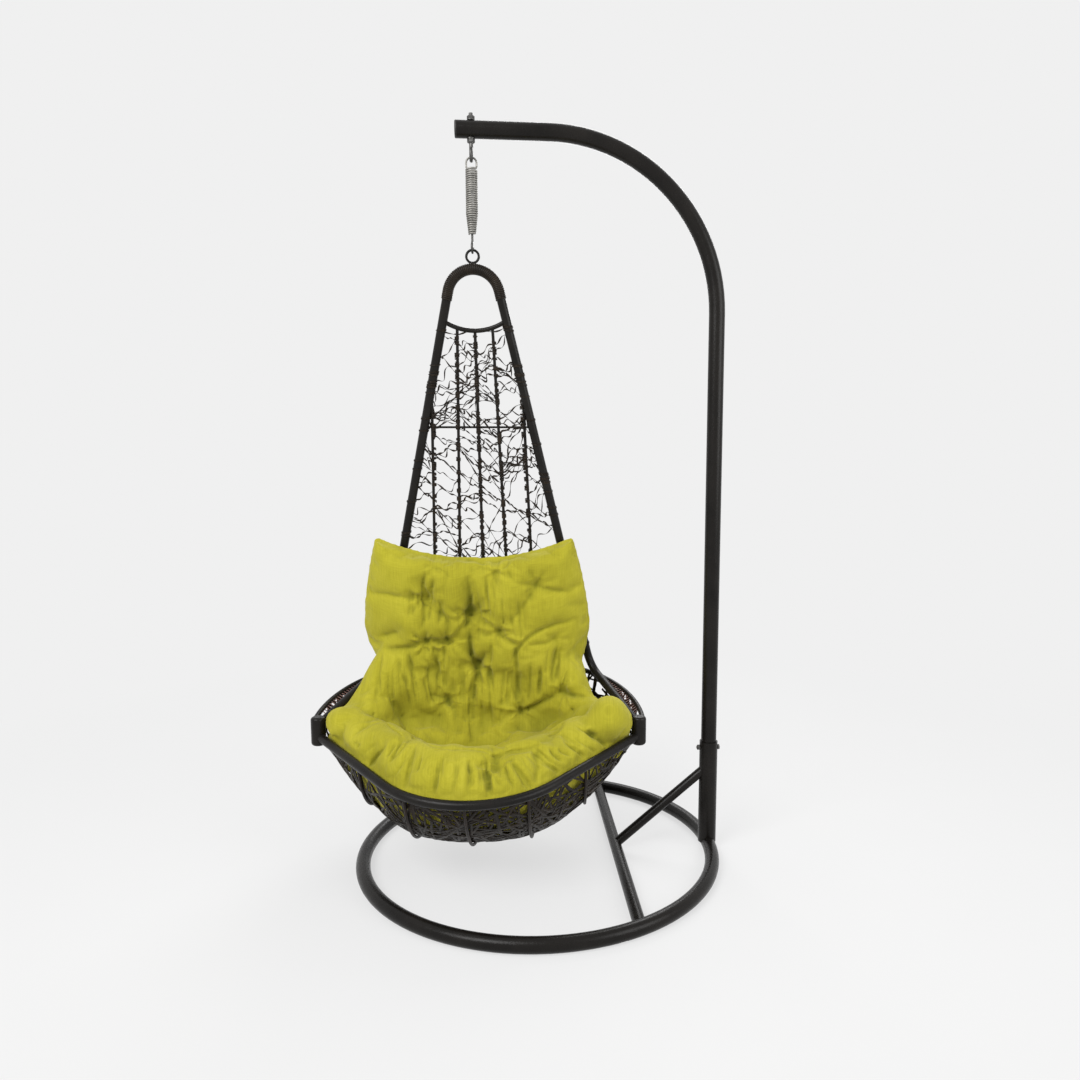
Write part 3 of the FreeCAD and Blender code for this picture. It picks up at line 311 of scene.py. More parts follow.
class Strands:
    def __init__(self):
        self.points = []
        self.faces = []
        self.uvs = []

    def add(self, path, normals, width, thick, sides=8, knots=0.0):
        """A closed ribbon along the path, its flat side facing along the normals."""
        first = len(self.points)
        run = strand_dice.uniform(0, 50)
        beat = strand_dice.uniform(0.7, 1.4)
        count = len(path)
        for step, (place, normal) in enumerate(zip(path, normals)):
            ahead = path[min(step + 1, count - 1)] - path[max(step - 1, 0)]
            if step:
                run += (place - path[step - 1]).length
            tangent = ahead.normalized()
            side = tangent.cross(normal).normalized()
            face_up = side.cross(tangent)
            swell = 1 + knots * math.sin(beat * step + run)
            for corner in range(sides):
                angle = 2 * math.pi * corner / sides
                flat = math.copysign(abs(math.cos(angle)) ** SQUARENESS, math.cos(angle))
                tall = math.copysign(abs(math.sin(angle)) ** SQUARENESS, math.sin(angle))
                out = side * (flat * width) + face_up * (tall * thick)
                self.points.append(place + out * (swell / 2))
                self.uvs.append((run, corner / sides * (width + thick) * 2))
        for step in range(count - 1):
            low = first + step * sides
            high = low + sides
            for corner in range(sides):
                following = (corner + 1) % sides
                self.faces.append((low + corner, low + following, high + following, high + corner))
        last = first + (count - 1) * sides
        self.faces.append(tuple(first + corner for corner in reversed(range(sides))))
        self.faces.append(tuple(last + corner for corner in range(sides)))

    def piece(self, name, finish, body, slot, *replaced):
        """The gathered ribbons as one piece that rides on a body and stands for some nodes."""
        mesh = bpy.data.meshes.new(name)
        mesh.from_pydata([tuple(point) for point in self.points], [], self.faces)
        layer = mesh.uv_layers.new(name="UVMap")
        corners = np.zeros(len(mesh.loops), np.int32)
        mesh.loops.foreach_get("vertex_index", corners)
        layer.data.foreach_set("uv", np.array(self.uvs, np.float32)[corners].ravel())
        mesh.polygons.foreach_set("use_smooth", [len(face) == 4 for face in self.faces])
        mesh.validate()
        item = bpy.data.objects.new(name, mesh)
        scene.collection.objects.link(item)
        mesh.materials.append(finish)
        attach(item, body)
        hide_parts(*replaced)


def curve_through(points, steps):
    """A smooth line through the points, with equal steps between each pair."""
    chain = [2 * points[0] - points[1], *points, 2 * points[-1] - points[-2]]
    line = []
    for before, start, end, after in zip(chain, chain[1:], chain[2:], chain[3:]):
        for step in range(steps):
            share = step / steps
            line.append(0.5 * (2 * start + (end - before) * share
                               + (2 * before - 5 * start + 4 * end - after) * share ** 2
                               + (3 * start - before - 3 * end + after) * share ** 3))
    line.append(points[-1].copy())
    return line


def surface_of(*names):
    """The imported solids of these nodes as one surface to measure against."""
    stock = bmesh.new()
    for name in names:
        stock.from_mesh(nodes[name].data)
    bmesh.ops.remove_doubles(stock, verts=stock.verts, dist=1e-6)
    bmesh.ops.recalc_face_normals(stock, faces=stock.faces)
    tree = BVHTree.FromBMesh(stock)
    stock.free()
    return tree


# Bowl: a dense random nest of flat strands in the thickness of the shell
BOWL_WALL = 0.006
BOWL_STRANDS = 450
BOWL_STRAND_THICK = 0.0022
BOWL_STRAND_WIDTHS = (0.0056, 0.0088)
BOWL_STRAND_HALVES = (0.15, 0.36)
BOWL_STRAND_TURN = 3.2
BOWL_STRAND_WAVER = 0.1
LAYER_MARGIN = 0.0014
LEAST_MARGIN = 0.0013
LAYER_DIP = 0.0011
STEP = 0.018
EDGE_GAP = 0.008
FACING = 0.25
bowl_shell = surface_of("bowl_weave")
bowl_middle = chair_point(0, 0, 0.46)


def inside_faces(name, middle):
    """The corners of the faces of a node that look towards its middle."""
    mesh = nodes[name].data
    mesh.calc_loop_triangles()
    found = []
    for triangle in mesh.loop_triangles:
        corners = [mesh.vertices[index].co.copy() for index in triangle.vertices]
        centre = sum(corners, Vector()) / 3
        if triangle.normal.dot((middle - centre).normalized()) > FACING:
            found.append(corners)
    return found


bowl_faces = inside_faces("bowl_weave", bowl_middle)
bowl_areas = [(b - a).cross(c - a).length / 2 for a, b, c in bowl_faces]
bowl_inside = BVHTree.FromPolygons(
    [corner for corners in bowl_faces for corner in corners],
    [(3 * index, 3 * index + 1, 3 * index + 2) for index in range(len(bowl_faces))])


def walk(place, heading, turn, length):
    """Steps over the inside of the bowl until the edge or the strand's end."""
    steps = []
    for _ in range(int(length / STEP)):
        wanted = place + heading * STEP
        spot, normal, _, gap = bowl_inside.find_nearest(wanted)
        if gap > EDGE_GAP or (spot - place).length < STEP * 0.5:
            break
        steps.append((spot, normal))
        heading = spot - place
        heading -= normal * heading.dot(normal)
        heading.normalize()
        waver = strand_dice.uniform(-BOWL_STRAND_WAVER, BOWL_STRAND_WAVER)
        heading.rotate(Quaternion(normal, turn * STEP + waver))
        place = spot
    return steps


def bowl_strand(strands):
    """One strand that starts anywhere on the bowl and runs both ways from there."""
    corners = strand_dice.choices(bowl_faces, bowl_areas)[0]
    low, high = sorted((strand_dice.random(), strand_dice.random()))
    place = corners[0] * low + corners[1] * (high - low) + corners[2] * (1 - high)
    spot, normal, _, _ = bowl_inside.find_nearest(place)
    heading = normal.orthogonal()
    heading.rotate(Quaternion(normal, strand_dice.uniform(0, 2 * math.pi)))
    turn = strand_dice.uniform(-BOWL_STRAND_TURN, BOWL_STRAND_TURN)
    length = strand_dice.uniform(*BOWL_STRAND_HALVES)
    ahead = walk(spot, heading, turn, length)
    behind = walk(spot, -heading, -turn, length)
    steps = [*reversed(behind), (spot, normal), *ahead]
    if len(steps) < 5:
        return
    layer = strand_dice.uniform(LAYER_MARGIN, BOWL_WALL - LAYER_MARGIN)
    phase = strand_dice.uniform(0, 2 * math.pi)
    points = []
    for count, (place, normal) in enumerate(steps):
        depth = layer + LAYER_DIP * math.sin(phase + count)
        points.append(place - normal * min(max(depth, LEAST_MARGIN), BOWL_WALL - LEAST_MARGIN))
    path = curve_through(points, 2)
    faces = curve_through([normal for _, normal in steps], 2)
    strands.add(path, faces, strand_dice.uniform(*BOWL_STRAND_WIDTHS), BOWL_STRAND_THICK)


bowl_strands = Strands()
for _ in range(BOWL_STRANDS):
    bowl_strand(bowl_strands)
bowl_strands.piece("bowl_strands", WICKER, "chair", "wicker", "bowl_weave")

# Back: sparse thin strands that wander from rib to rib and are bound round each
LEG_APEX = TOP_BEND / math.sin(LEG_SLOPE) - TOP_BEND
LEG_RUN = math.tan(LEG_SLOPE)
LEG_TOP = 0.09
LEG_FOOT = 1.075
LEG_BIND = 0.0135
RIB_BIND = 0.0054
RIB_INSET = 0.01
RIB_END_POINTS = 6
WEAVE_TOP = 0.150
WEAVE_FOOT = 1.06
WEAVE_EDGE = 0.01
BINDING_INSET = 0.02
BINDING_STEPS = 12
LEG_CHANCE = 0.25
RIB_CHANCE = 0.75
BACK_STRAND_SIDES = 6
BACK_STRAND_FLATNESS = 0.72
BACK_STRAND_KNOTS = 0.62
BACK_STRAND_WANDER = 0.012
BACK_STRAND_RISE = 0.002
# Count of strands, how far one climbs or drops from rib to rib, and its widths
BACK_STRANDS = ((165, 0.06, (0.0019, 0.0036)), (80, 0.13, (0.0017, 0.0030)))
# Turns of a binding, its strand's widths and the distance to the next one
LEG_BINDINGS = ((1.1, 2.2), (0.0022, 0.0030), (0.07, 0.18))
RIB_BINDINGS = ((1.2, 3.0), (0.0030, 0.0046), (0.014, 0.05))


def rib_line(name):
    """The two ends of a straight rib, as (u, down) in the back plane."""
    places = [vertex.co - HANG - UP * FRAME_TOP for vertex in nodes[name].data.vertices]
    flat = sorted((place.dot(DOWN_BACK), place.dot(RIGHT)) for place in places)
    ends = []
    for end in (flat[:RIB_END_POINTS], flat[-RIB_END_POINTS:]):
        end_u = sum(u for _, u in end) / len(end)
        end_down = sum(down for down, _ in end) / len(end)
        ends.append((end_u, end_down))
    return ends


back_lines = [{"top": LEG_TOP, "foot": LEG_FOOT, "bind": LEG_BIND, "side": side} for side in (-1, 1)]
for number in RIB_NUMBERS:
    (top_u, top_down), (foot_u, foot_down) = rib_line(f"back_rib_{number}")
    back_lines.append({
        "top": top_down + RIB_INSET,
        "foot": foot_down - RIB_INSET,
        "bind": RIB_BIND,
        "side": 0,
        "start": top_u,
        "run": (foot_u - top_u) / (foot_down - top_down),
        "from": top_down,
    })


def line_u(entry, down):
    """How far a leg or rib stands to the right at some way down the back."""
    if entry["side"]:
        return entry["side"] * (down + LEG_APEX) * LEG_RUN
    return entry["start"] + entry["run"] * (down - entry["from"])


def lines_at(down):
    """The legs and ribs that are there at some way down the back, from left to right."""
    present = [entry for entry in back_lines if entry["top"] < down < entry["foot"]]
    return sorted(present, key=lambda entry: line_u(entry, down))


def binding(strands, entry, down, turns, width):
    """A few turns of strand round a rib or leg."""
    path = []
    normals = []
    pitch = width * 1.05
    start = strand_dice.uniform(0, FULL_TURN)
    for step in range(int(turns * BINDING_STEPS) + 1):
        angle = start + 2 * math.pi * step / BINDING_STEPS
        at = down + pitch * step / BINDING_STEPS
        out = RIGHT * math.cos(angle) + TO_FRONT * math.sin(angle)
        path.append(back_point(line_u(entry, at), at) + out * entry["bind"])
        normals.append(out)
    strands.add(path, normals, width, width * BACK_STRAND_FLATNESS, BACK_STRAND_SIDES)


def back_strand(strands, slope, width):
    """One strand that wanders over one to three gaps between the ribs and legs."""
    down = strand_dice.uniform(WEAVE_TOP, WEAVE_FOOT)
    at = strand_dice.randrange(len(lines_at(down)))
    heading = strand_dice.choice((-1, 1))
    face = strand_dice.choice((-1, 1))
    spans = strand_dice.randint(1, 3)
    points = []
    for span in range(spans + 1):
        present = lines_at(down)
        if not 0 <= at < len(present):
            break
        entry = present[at]
        clear = 0.0 if entry["side"] else RIB_BIND
        points.append(back_point(line_u(entry, down), down, face * clear))
        if strand_dice.random() < (LEG_CHANCE if entry["side"] else RIB_CHANCE):
            binding(strands, entry, down - width, strand_dice.uniform(1.1, 2.6), width)
        following = down + strand_dice.uniform(-slope, slope)
        if not WEAVE_TOP - WEAVE_EDGE < following < WEAVE_FOOT + WEAVE_EDGE:
            break
        beyond = lines_at(following)
        if not 0 <= at + heading < len(beyond):
            break
        if span < spans:
            start_u = line_u(entry, down)
            end_u = line_u(beyond[at + heading], following)
            for share in (0.2, 0.4, 0.6, 0.8):
                wander = strand_dice.uniform(-BACK_STRAND_WANDER, BACK_STRAND_WANDER)
                points.append(back_point(start_u + (end_u - start_u) * share + wander * 0.5,
                                         down + (following - down) * share + wander,
                                         face * BACK_STRAND_RISE * (1 - 2 * share)))
        at += heading
        down = following
        face = -face
    if len(points) >= 4:
        path = curve_through(points, 4)
        strands.add(path, [TO_FRONT] * len(path), width, width * BACK_STRAND_FLATNESS,
                    BACK_STRAND_SIDES, BACK_STRAND_KNOTS)


back_strands = Strands()
for count, slope, widths in BACK_STRANDS:
    for _ in range(count):
        back_strand(back_strands, slope, strand_dice.uniform(*widths))
for entry in back_lines:
    all_turns, widths, distances = LEG_BINDINGS if entry["side"] else RIB_BINDINGS
    down = max(entry["top"] + BINDING_INSET, WEAVE_TOP)
    while down < entry["foot"] - BINDING_INSET:
        binding(back_strands, entry, down, strand_dice.uniform(*all_turns), strand_dice.uniform(*widths))
        down += strand_dice.uniform(*distances)
back_strands.piece("back_strands", WICKER, "chair", "wicker", "back_weave")

# Top: the frame's bend is wound with strand where the ring hangs
WRAP_RADIUS = 0.0132
WRAP_TAIL = 0.022
WRAP_STRAND = 0.0046
WRAP_THICK = 0.0024
WRAP_PITCH = WRAP_STRAND * 0.98
WRAP_STEPS = 14
BEND_HALF = math.pi / 2 - LEG_SLOPE


def bend_place(run):
    """A point and heading on the frame's bend, measured along it from the middle."""
    angle = max(-BEND_HALF, min(BEND_HALF, run / TOP_BEND))
    past = run - angle * TOP_BEND
    place = back_point(TOP_BEND * math.sin(angle), TOP_BEND * (1 - math.cos(angle)))
    heading = RIGHT * math.cos(angle) + DOWN_BACK * math.sin(angle)
    return place + heading * past, heading


wrap_half = TOP_BEND * BEND_HALF + WRAP_TAIL
wrap_steps = int(2 * wrap_half / WRAP_PITCH) * WRAP_STEPS
wrap_path = []
wrap_normals = []
for step in range(wrap_steps + 1):
    place, heading = bend_place(-wrap_half + 2 * wrap_half * step / wrap_steps)
    angle = 2 * math.pi * step / WRAP_STEPS
    out = TO_FRONT * math.sin(angle) + heading.cross(TO_FRONT) * math.cos(angle)
    wrap_path.append(place + out * WRAP_RADIUS)
    wrap_normals.append(out)
wrap_strands = Strands()
wrap_strands.add(wrap_path, wrap_normals, WRAP_STRAND, WRAP_THICK)
wrap_strands.piece("top_wrap", WICKER, "chair", "wicker", "top_sleeve")

# Cushion: both pads sewn as one form, tufted, creased and swollen
CAMERA_PLACE = Vector((-0.0984, -2.2135, 1.0861))
CAMERA_TURN = Euler((math.radians(83.3875), 0, math.radians(-4.895)))
LENS = 27.5
SENSOR = 36
SHIFT = (-0.0290, 0.0188)
PICTURE = 1080
VOXEL = 0.0062
DRAWN_IN = 0.009
SWELL_FRAMES = 20
SWELL_CAP = 0.024
CLEAR = 0.003
CLEAR_REACH = 0.03


def sight(x, y):
    """The camera's line of sight through a point of the picture."""
    across = x / PICTURE - 0.5 + SHIFT[0]
    rise = 0.5 - y / PICTURE + SHIFT[1]
    return (CAMERA_TURN.to_matrix() @ Vector((across * SENSOR, rise * SENSOR, -LENS))).normalized()


def solid_copy(name, parts, fillings):
    """Some nodes' solids, each spread and moved a little, and round fillings, as one new piece."""
    stock = bmesh.new()
    for part, widen, shift in parts:
        known = len(stock.verts)
        stock.from_mesh(nodes[part].data)
        stock.verts.ensure_lookup_table()
        for vertex in stock.verts[known:]:
            vertex.co += shift + RIGHT * ((vertex.co - HANG).dot(RIGHT) * (widen - 1))
        bmesh.ops.remove_doubles(stock, verts=stock.verts[known:], dist=1e-6)
    for place, radii in fillings:
        grown = Matrix.LocRotScale(place, Euler((0, 0, CHAIR_TURN)), Vector(radii))
        bmesh.ops.create_icosphere(stock, subdivisions=4, radius=1.0, matrix=grown)
    mesh = bpy.data.meshes.new(name)
    stock.to_mesh(mesh)
    stock.free()
    item = bpy.data.objects.new(name, mesh)
    scene.collection.objects.link(item)
    return item


def bake_modifiers(item):
    bpy.context.view_layer.update()
    settled = bpy.data.meshes.new_from_object(item.evaluated_get(bpy.context.evaluated_depsgraph_get()))
    item.modifiers.clear()
    item.data = settled


def places_of(mesh):
    flat = np.zeros(len(mesh.vertices) * 3)
    mesh.vertices.foreach_get("co", flat)
    return flat.reshape(-1, 3)


def move_to(mesh, places):
    mesh.vertices.foreach_set("co", places.ravel())
    mesh.update()


def normals_of(mesh):
    flat = np.zeros(len(mesh.vertices) * 3)
    mesh.vertices.foreach_get("normal", flat)
    return flat.reshape(-1, 3)


def links_of(mesh):
    flat = np.zeros(len(mesh.edges) * 2, np.int64)
    mesh.edges.foreach_get("vertices", flat)
    return flat.reshape(-1, 2)


def tree_of(mesh, places):
    return BVHTree.FromPolygons([Vector(place) for place in places],
                                [tuple(face.vertices) for face in mesh.polygons])


def relaxed(values, links, rounds, weight=0.5, mask=None):
    """Values drawn towards the mean of their neighbours, as often as asked."""
    count = len(values)
    degree = np.maximum(np.bincount(links.ravel(), minlength=count), 1)
    columns = values.reshape(count, -1).copy()
    pull = np.full((count, 1), weight) if mask is None else (weight * mask).reshape(-1, 1)
    for _ in range(rounds):
        mean = np.stack([np.bincount(links[:, 0], column[links[:, 1]], count)
                         + np.bincount(links[:, 1], column[links[:, 0]], count)
                         for column in columns.T], axis=1) / degree[:, None]
        columns += (mean - columns) * pull
    return columns.reshape(values.shape)


def hollow_at(mesh, places, links, rounds):
    """How far each place lies below the smoothed cover round it."""
    return np.einsum("ij,ij->i", relaxed(places, links, rounds) - places, normals_of(mesh))


def gaps_to(tree, places, reach):
    """How far each place is from a surface, up to a reach."""
    found = [tree.find_nearest(Vector(place), reach) for place in places]
    return np.array([reach if hit[0] is None else hit[3] for hit in found])


def near_any(fillings, places, reach):
    """Which places lie within reach of the middle of a filling."""
    gaps = [np.linalg.norm(places - np.array(middle), axis=1) for middle, _ in fillings]
    return np.min(gaps, axis=0) < reach


WAIST_FILLINGS = [(chair_point(u, w, z), radii) for u, w, z, radii in (
    (-0.278, 0.130, 0.455, (0.078, 0.075, 0.105)),
    (-0.305, 0.090, 0.412, (0.074, 0.080, 0.072)),
    (0.252, 0.140, 0.440, (0.070, 0.070, 0.100)),
    (0.285, 0.100, 0.385, (0.062, 0.070, 0.062)),
    (-0.190, 0.160, 0.385, (0.090, 0.060, 0.080)),
    (-0.100, 0.160, 0.375, (0.100, 0.060, 0.070)),
    (0.000, 0.165, 0.400, (0.060, 0.055, 0.100)),
    (0.100, 0.160, 0.375, (0.100, 0.060, 0.070)),
    (0.190, 0.160, 0.385, (0.090, 0.060, 0.080)),
)]
END_FILLINGS = [(chair_point(u, w, z), radii) for u, w, z, radii in (
    (-0.374, 0.012, 0.392, (0.046, 0.060, 0.052)),
    (-0.402, 0.004, 0.384, (0.024, 0.034, 0.030)),
    (-0.388, -0.012, 0.366, (0.026, 0.036, 0.034)),
    (0.352, -0.012, 0.402, (0.066, 0.080, 0.070)),
    (0.392, -0.006, 0.384, (0.036, 0.052, 0.052)),
)]
WAIST_REACH = 0.12
END_REACH = 0.09
SEAT_PLACE = Vector((0, 0, 0))
BACK_WIDEN = 1.04
BACK_PLACE = DOWN_BACK * -0.012 + TO_FRONT * 0.006 - RIGHT * 0.006
BACK_FOOT_PLACE = DOWN_BACK * 0.034 + TO_FRONT * 0.006
BOWL_REST = 0.018
BACK_REST = 0.034
BACK_REST_FROM = 0.36
JOIN_REACH = 0.07
PLAIN_FRONT = 0.075
PLAIN_FROM = 0.42
cushion = solid_copy("cushion", [("seat_cushion", 1.0, SEAT_PLACE),
                                 ("back_cushion", BACK_WIDEN, BACK_PLACE),
                                 ("back_cushion", 1.0, BACK_FOOT_PLACE)], WAIST_FILLINGS + END_FILLINGS)
remesh = cushion.modifiers.new("remesh", "REMESH")
remesh.mode = "VOXEL"
remesh.voxel_size = VOXEL
bake_modifiers(cushion)
links = links_of(cushion.data)
start = places_of(cushion.data)

# What rests on the bowl and the back stays, and the joins between the pads are smoothed
height = start[:, 2]
from_bowl = gaps_to(bowl_shell, start, 0.05)
from_plane = (start - np.array(HANG + UP * FRAME_TOP)) @ np.array(TO_FRONT)
resting = (from_bowl < BOWL_REST) | ((from_plane < BACK_REST) & (height > BACK_REST_FROM))
free = 1.0 - relaxed(resting.astype(float), links, 3)
from_seat = gaps_to(surface_of("seat_cushion"), start, 0.09)
from_back = gaps_to(surface_of("back_cushion"), start, 0.09)
ends = near_any(END_FILLINGS, start, END_REACH)
waist = near_any(WAIST_FILLINGS, start, WAIST_REACH) & ~ends
joins = ((from_seat < JOIN_REACH) & (from_back < JOIN_REACH)) | waist
plain_front = (from_plane > PLAIN_FRONT) & (height > PLAIN_FROM)
joins_share = relaxed(joins.astype(float), links, 8) * free
front_share = relaxed(plain_front.astype(float), links, 4) * free
ends_share = relaxed(ends.astype(float), links, 4) * free
start = relaxed(start, links, 4)
start = relaxed(start, links, 90, 0.6, joins_share)
start = relaxed(start, links, 50, 0.6, front_share)
start = relaxed(start, links, 14, 0.5, ends_share)
move_to(cushion.data, start)
start -= normals_of(cushion.data) * (DRAWN_IN * free)[:, None]
move_to(cushion.data, start)

# Tufts and creases, placed where the picture shows them and cast onto the cushion.
# A tuft has its point in the picture and its depth in mm.
TUFTS = (
    (425, 598, 20), (424, 644, 24), (448, 643, 22), (471, 614, 28), (497, 634, 24), (477, 666, 30),
    (448, 700, 24), (520, 712, 26), (561, 692, 18), (536, 586, 16), (437, 567, 10), (495, 573, 12),
    (369, 642, 14), (446, 747, 16), (497, 762, 14), (432, 672, 12), (555, 640, 10),
)
# A crease has its depth and width in mm and the points that it runs through
CREASES = (
    (14, 9, ((469, 560), (469, 590), (471, 614), (470, 640), (472, 655), (477, 667), (474, 690), (473, 715),
             (473, 740))),
    (9, 7, ((427, 566), (423, 582), (424, 600), (434, 610), (447, 620), (448, 643))),
    (7, 6, ((424, 644), (436, 641), (448, 643), (460, 640), (470, 640))),
    (7, 6, ((447, 646), (449, 664), (446, 684), (448, 700))),
    (8, 7, ((366, 638), (382, 636), (398, 632))),
    (9, 7, ((364, 650), (384, 648), (404, 648), (424, 645))),
    (7, 7, ((424, 646), (432, 660), (437, 682))),
    (8, 7, ((512, 662), (519, 648), (534, 634), (552, 626), (566, 622))),
    (6, 7, ((497, 634), (508, 640), (517, 646))),
    (7, 7, ((513, 664), (512, 682), (518, 700), (520, 712))),
    (6, 6, ((536, 586), (528, 600), (516, 616), (500, 632))),
    (6, 6, ((536, 586), (552, 590), (566, 591))),
    (11, 9, ((392, 696), (402, 716), (414, 738), (430, 744), (446, 748))),
    (8, 7, ((448, 700), (440, 716), (432, 732))),
    (7, 7, ((448, 700), (456, 716), (458, 736))),
    (11, 9, ((446, 748), (462, 748), (478, 749), (496, 756), (510, 751), (524, 749), (538, 744))),
    (12, 9, ((538, 744), (552, 734), (562, 722), (572, 710), (582, 700))),
    (10, 8, ((561, 692), (574, 695), (588, 696))),
    (8, 8, ((520, 712), (534, 706), (548, 699), (561, 692))),
    (7, 7, ((520, 712), (518, 728), (522, 746))),
    (5, 6, ((366, 592), (386, 594), (408, 598), (425, 598))),
    (5, 6, ((495, 560), (494, 574), (497, 586))),
    (5, 6, ((506, 566), (512, 580))),
    (12, 8, ((338, 702), (356, 706), (374, 714), (392, 727), (412, 741))),
    (5, 7, ((568, 722), (580, 716), (590, 706))),
    (8, 6, ((486, 754), (488, 768), (489, 782), (487, 799))),
    (7, 6, ((496, 754), (497, 764), (502, 778))),
    (9, 7, ((416, 744), (410, 764), (403, 790))),
    (7, 7, ((378, 752), (372, 762), (367, 770))),
    (8, 7, ((536, 750), (538, 766), (536, 784))),
)
# A hollow has its point, its depth and its reach in mm
HOLLOWS = ((537, 724, 30, 52), (432, 718, 20, 48), (487, 722, 14, 50))
# Gathers fall from a top line to a foot line: how many, both lines, and the deepest in mm
ROLL_TOP = ((352, 738), (392, 742), (414, 742), (446, 750), (470, 752), (490, 757), (510, 753), (538, 746),
            (560, 736), (584, 722))
ROLL_FOOT = ((340, 744), (366, 768), (396, 786), (430, 799), (470, 806), (505, 805), (540, 797), (572, 780),
             (598, 762), (614, 750))
LAP_TOP = ((392, 655), (424, 648), (448, 648), (472, 650), (497, 642), (520, 655), (548, 645), (572, 660))
LAP_FOOT = ((420, 718), (438, 733), (452, 740), (473, 742), (497, 740), (518, 736), (536, 728), (558, 704))
BACK_TOP = ((404, 572), (430, 578), (470, 586), (500, 582), (532, 574))
BACK_FOOT = ((404, 642), (425, 646), (470, 655), (505, 652), (536, 645))
SLOPE_TOP = ((364, 666), (380, 660), (398, 660), (414, 658))
SLOPE_FOOT = ((350, 708), (378, 720), (402, 734), (426, 732))
FOLDS = (
    (34, ROLL_TOP, ROLL_FOOT, 8.0),
    (24, LAP_TOP, LAP_FOOT, 9.0),
    (18, BACK_TOP, BACK_FOOT, 7.5),
    (9, SLOPE_TOP, SLOPE_FOOT, 7.0),
)
GATHER_STEPS = 5
fold_dice = random.Random(23)


def point_on(line, share):
    place = min(max(share, 0.0), 0.9999) * (len(line) - 1)
    first = int(place)
    rest = place - first
    return [low + (high - low) * rest for low, high in zip(line[first], line[first + 1])]


def gather(top_line, foot_line, share, deepest):
    """One fold from a top line to a foot line: its depth and width in mm and its points in the picture."""
    top_x, top_y = point_on(top_line, share)
    foot_x, foot_y = point_on(foot_line, share + fold_dice.uniform(-0.03, 0.03))
    begin = fold_dice.uniform(-0.2, 0.3)
    finish = fold_dice.uniform(0.5, 0.98)
    bow = fold_dice.uniform(-4, 4)
    marks = []
    for step in range(GATHER_STEPS + 1):
        run = begin + (finish - begin) * step / GATHER_STEPS
        marks.append((top_x + (foot_x - top_x) * run + bow * math.sin(math.pi * step / GATHER_STEPS),
                      top_y + (foot_y - top_y) * run))
    return fold_dice.uniform(0.25, 1.0) * deepest, fold_dice.uniform(2.6, 4.6), marks


GATHERS = [gather(top_line, foot_line, (number + fold_dice.uniform(0.1, 0.9)) / count, deepest)
           for count, top_line, foot_line, deepest in FOLDS for number in range(count)]


def cast(tree, x, y):
    place, _, _, _ = tree.ray_cast(CAMERA_PLACE, sight(x, y))
    return place


def cast_line(tree, marks):
    """Where the points of a line in the picture meet the cushion."""
    found = [cast(tree, x, y) for x, y in marks]
    return [spot for spot in found if spot is not None]


# Share of a line's depth that is left at its ends: joined lines meet others, fading ones run out
JOINED = 0.25
FADING = 0.0
FADE_RUN = 0.28
SHARP = 0.62
SOFT = 0.38


def press(places, depth, width, marks, end_share):
    """How far a line of stitches or a fold draws the cover in at each place."""
    spots = np.array([tuple(mark) for mark in marks])
    middle = spots.mean(axis=0)
    reach = np.linalg.norm(spots - middle, axis=1).max() + 5 * width
    near = np.flatnonzero(np.linalg.norm(places - middle, axis=1) < reach)
    apart = np.linalg.norm(places[near][:, None] - spots[None], axis=2)
    gap = apart.min(axis=1)
    along = apart.argmin(axis=1) / max(len(spots) - 1, 1)
    fade = np.clip(np.minimum(along, 1 - along) / FADE_RUN + end_share, 0, 1)
    sharp = SHARP * np.exp(-(gap / width) ** 2)
    soft = SOFT * np.exp(-(gap / (3 * width)) ** 2)
    drawn = np.zeros(len(places))
    drawn[near] = depth * fade * (sharp + soft)
    return drawn


TUFT_REACH = 0.14
TUFT_CORE = 0.011
TUFT_DISH = 0.040
TUFT_DISH_SHARE = 0.40
RIPPLE = 0.0058
RIPPLE_AT = 0.026
RIPPLE_WIDE = 0.024
FULL_RIPPLE_DEPTH = 24
CREASE_CORE = 0.7
CREASE_HOLD = 0.45
GATHER_WIDEN = 0.0016
sight_tree = tree_of(cushion.data, start)
drawn = np.zeros(len(start))
pinned = resting.astype(float)
face_out = normals_of(cushion.data)
tuft_dice = random.Random(5)
for x, y, depth in TUFTS:
    spot = cast(sight_tree, x, y)
    if spot is None:
        continue
    offset = start - np.array(spot)
    gap = np.linalg.norm(offset, axis=1)
    near = gap < TUFT_REACH
    centre = gap.argmin()
    side = np.cross(face_out[centre], np.array(UP))
    side /= np.linalg.norm(side)
    rise = np.cross(side, face_out[centre])
    angle = np.arctan2(offset @ rise, offset @ side)
    rays = tuft_dice.choice((5, 6, 7))
    phase = tuft_dice.uniform(0, FULL_TURN)
    wave = np.cos(rays * angle + phase + 1.2 * np.sin(2 * angle + phase))
    dish = depth * MM * (np.exp(-(gap / TUFT_CORE) ** 2) + TUFT_DISH_SHARE * np.exp(-(gap / TUFT_DISH) ** 2))
    ripple = RIPPLE * wave * np.exp(-((gap - RIPPLE_AT) / RIPPLE_WIDE) ** 2) * depth / FULL_RIPPLE_DEPTH
    drawn[near] += (dish - ripple)[near]
    pinned = np.maximum(pinned, (gap < TUFT_CORE).astype(float))
for depth, width, marks in CREASES:
    spots = cast_line(sight_tree, marks)
    if len(spots) >= 2:
        pressed = press(start, depth * MM, width * MM, curve_through(spots, 6), JOINED)
        drawn += pressed
        pinned = np.maximum(pinned, CREASE_HOLD * (pressed > CREASE_CORE * depth * MM))
for depth, width, marks in GATHERS:
    spots = cast_line(sight_tree, marks)
    if len(spots) >= 2:
        drawn += press(start, depth * MM, width * GATHER_WIDEN, curve_through(spots, 5), FADING)
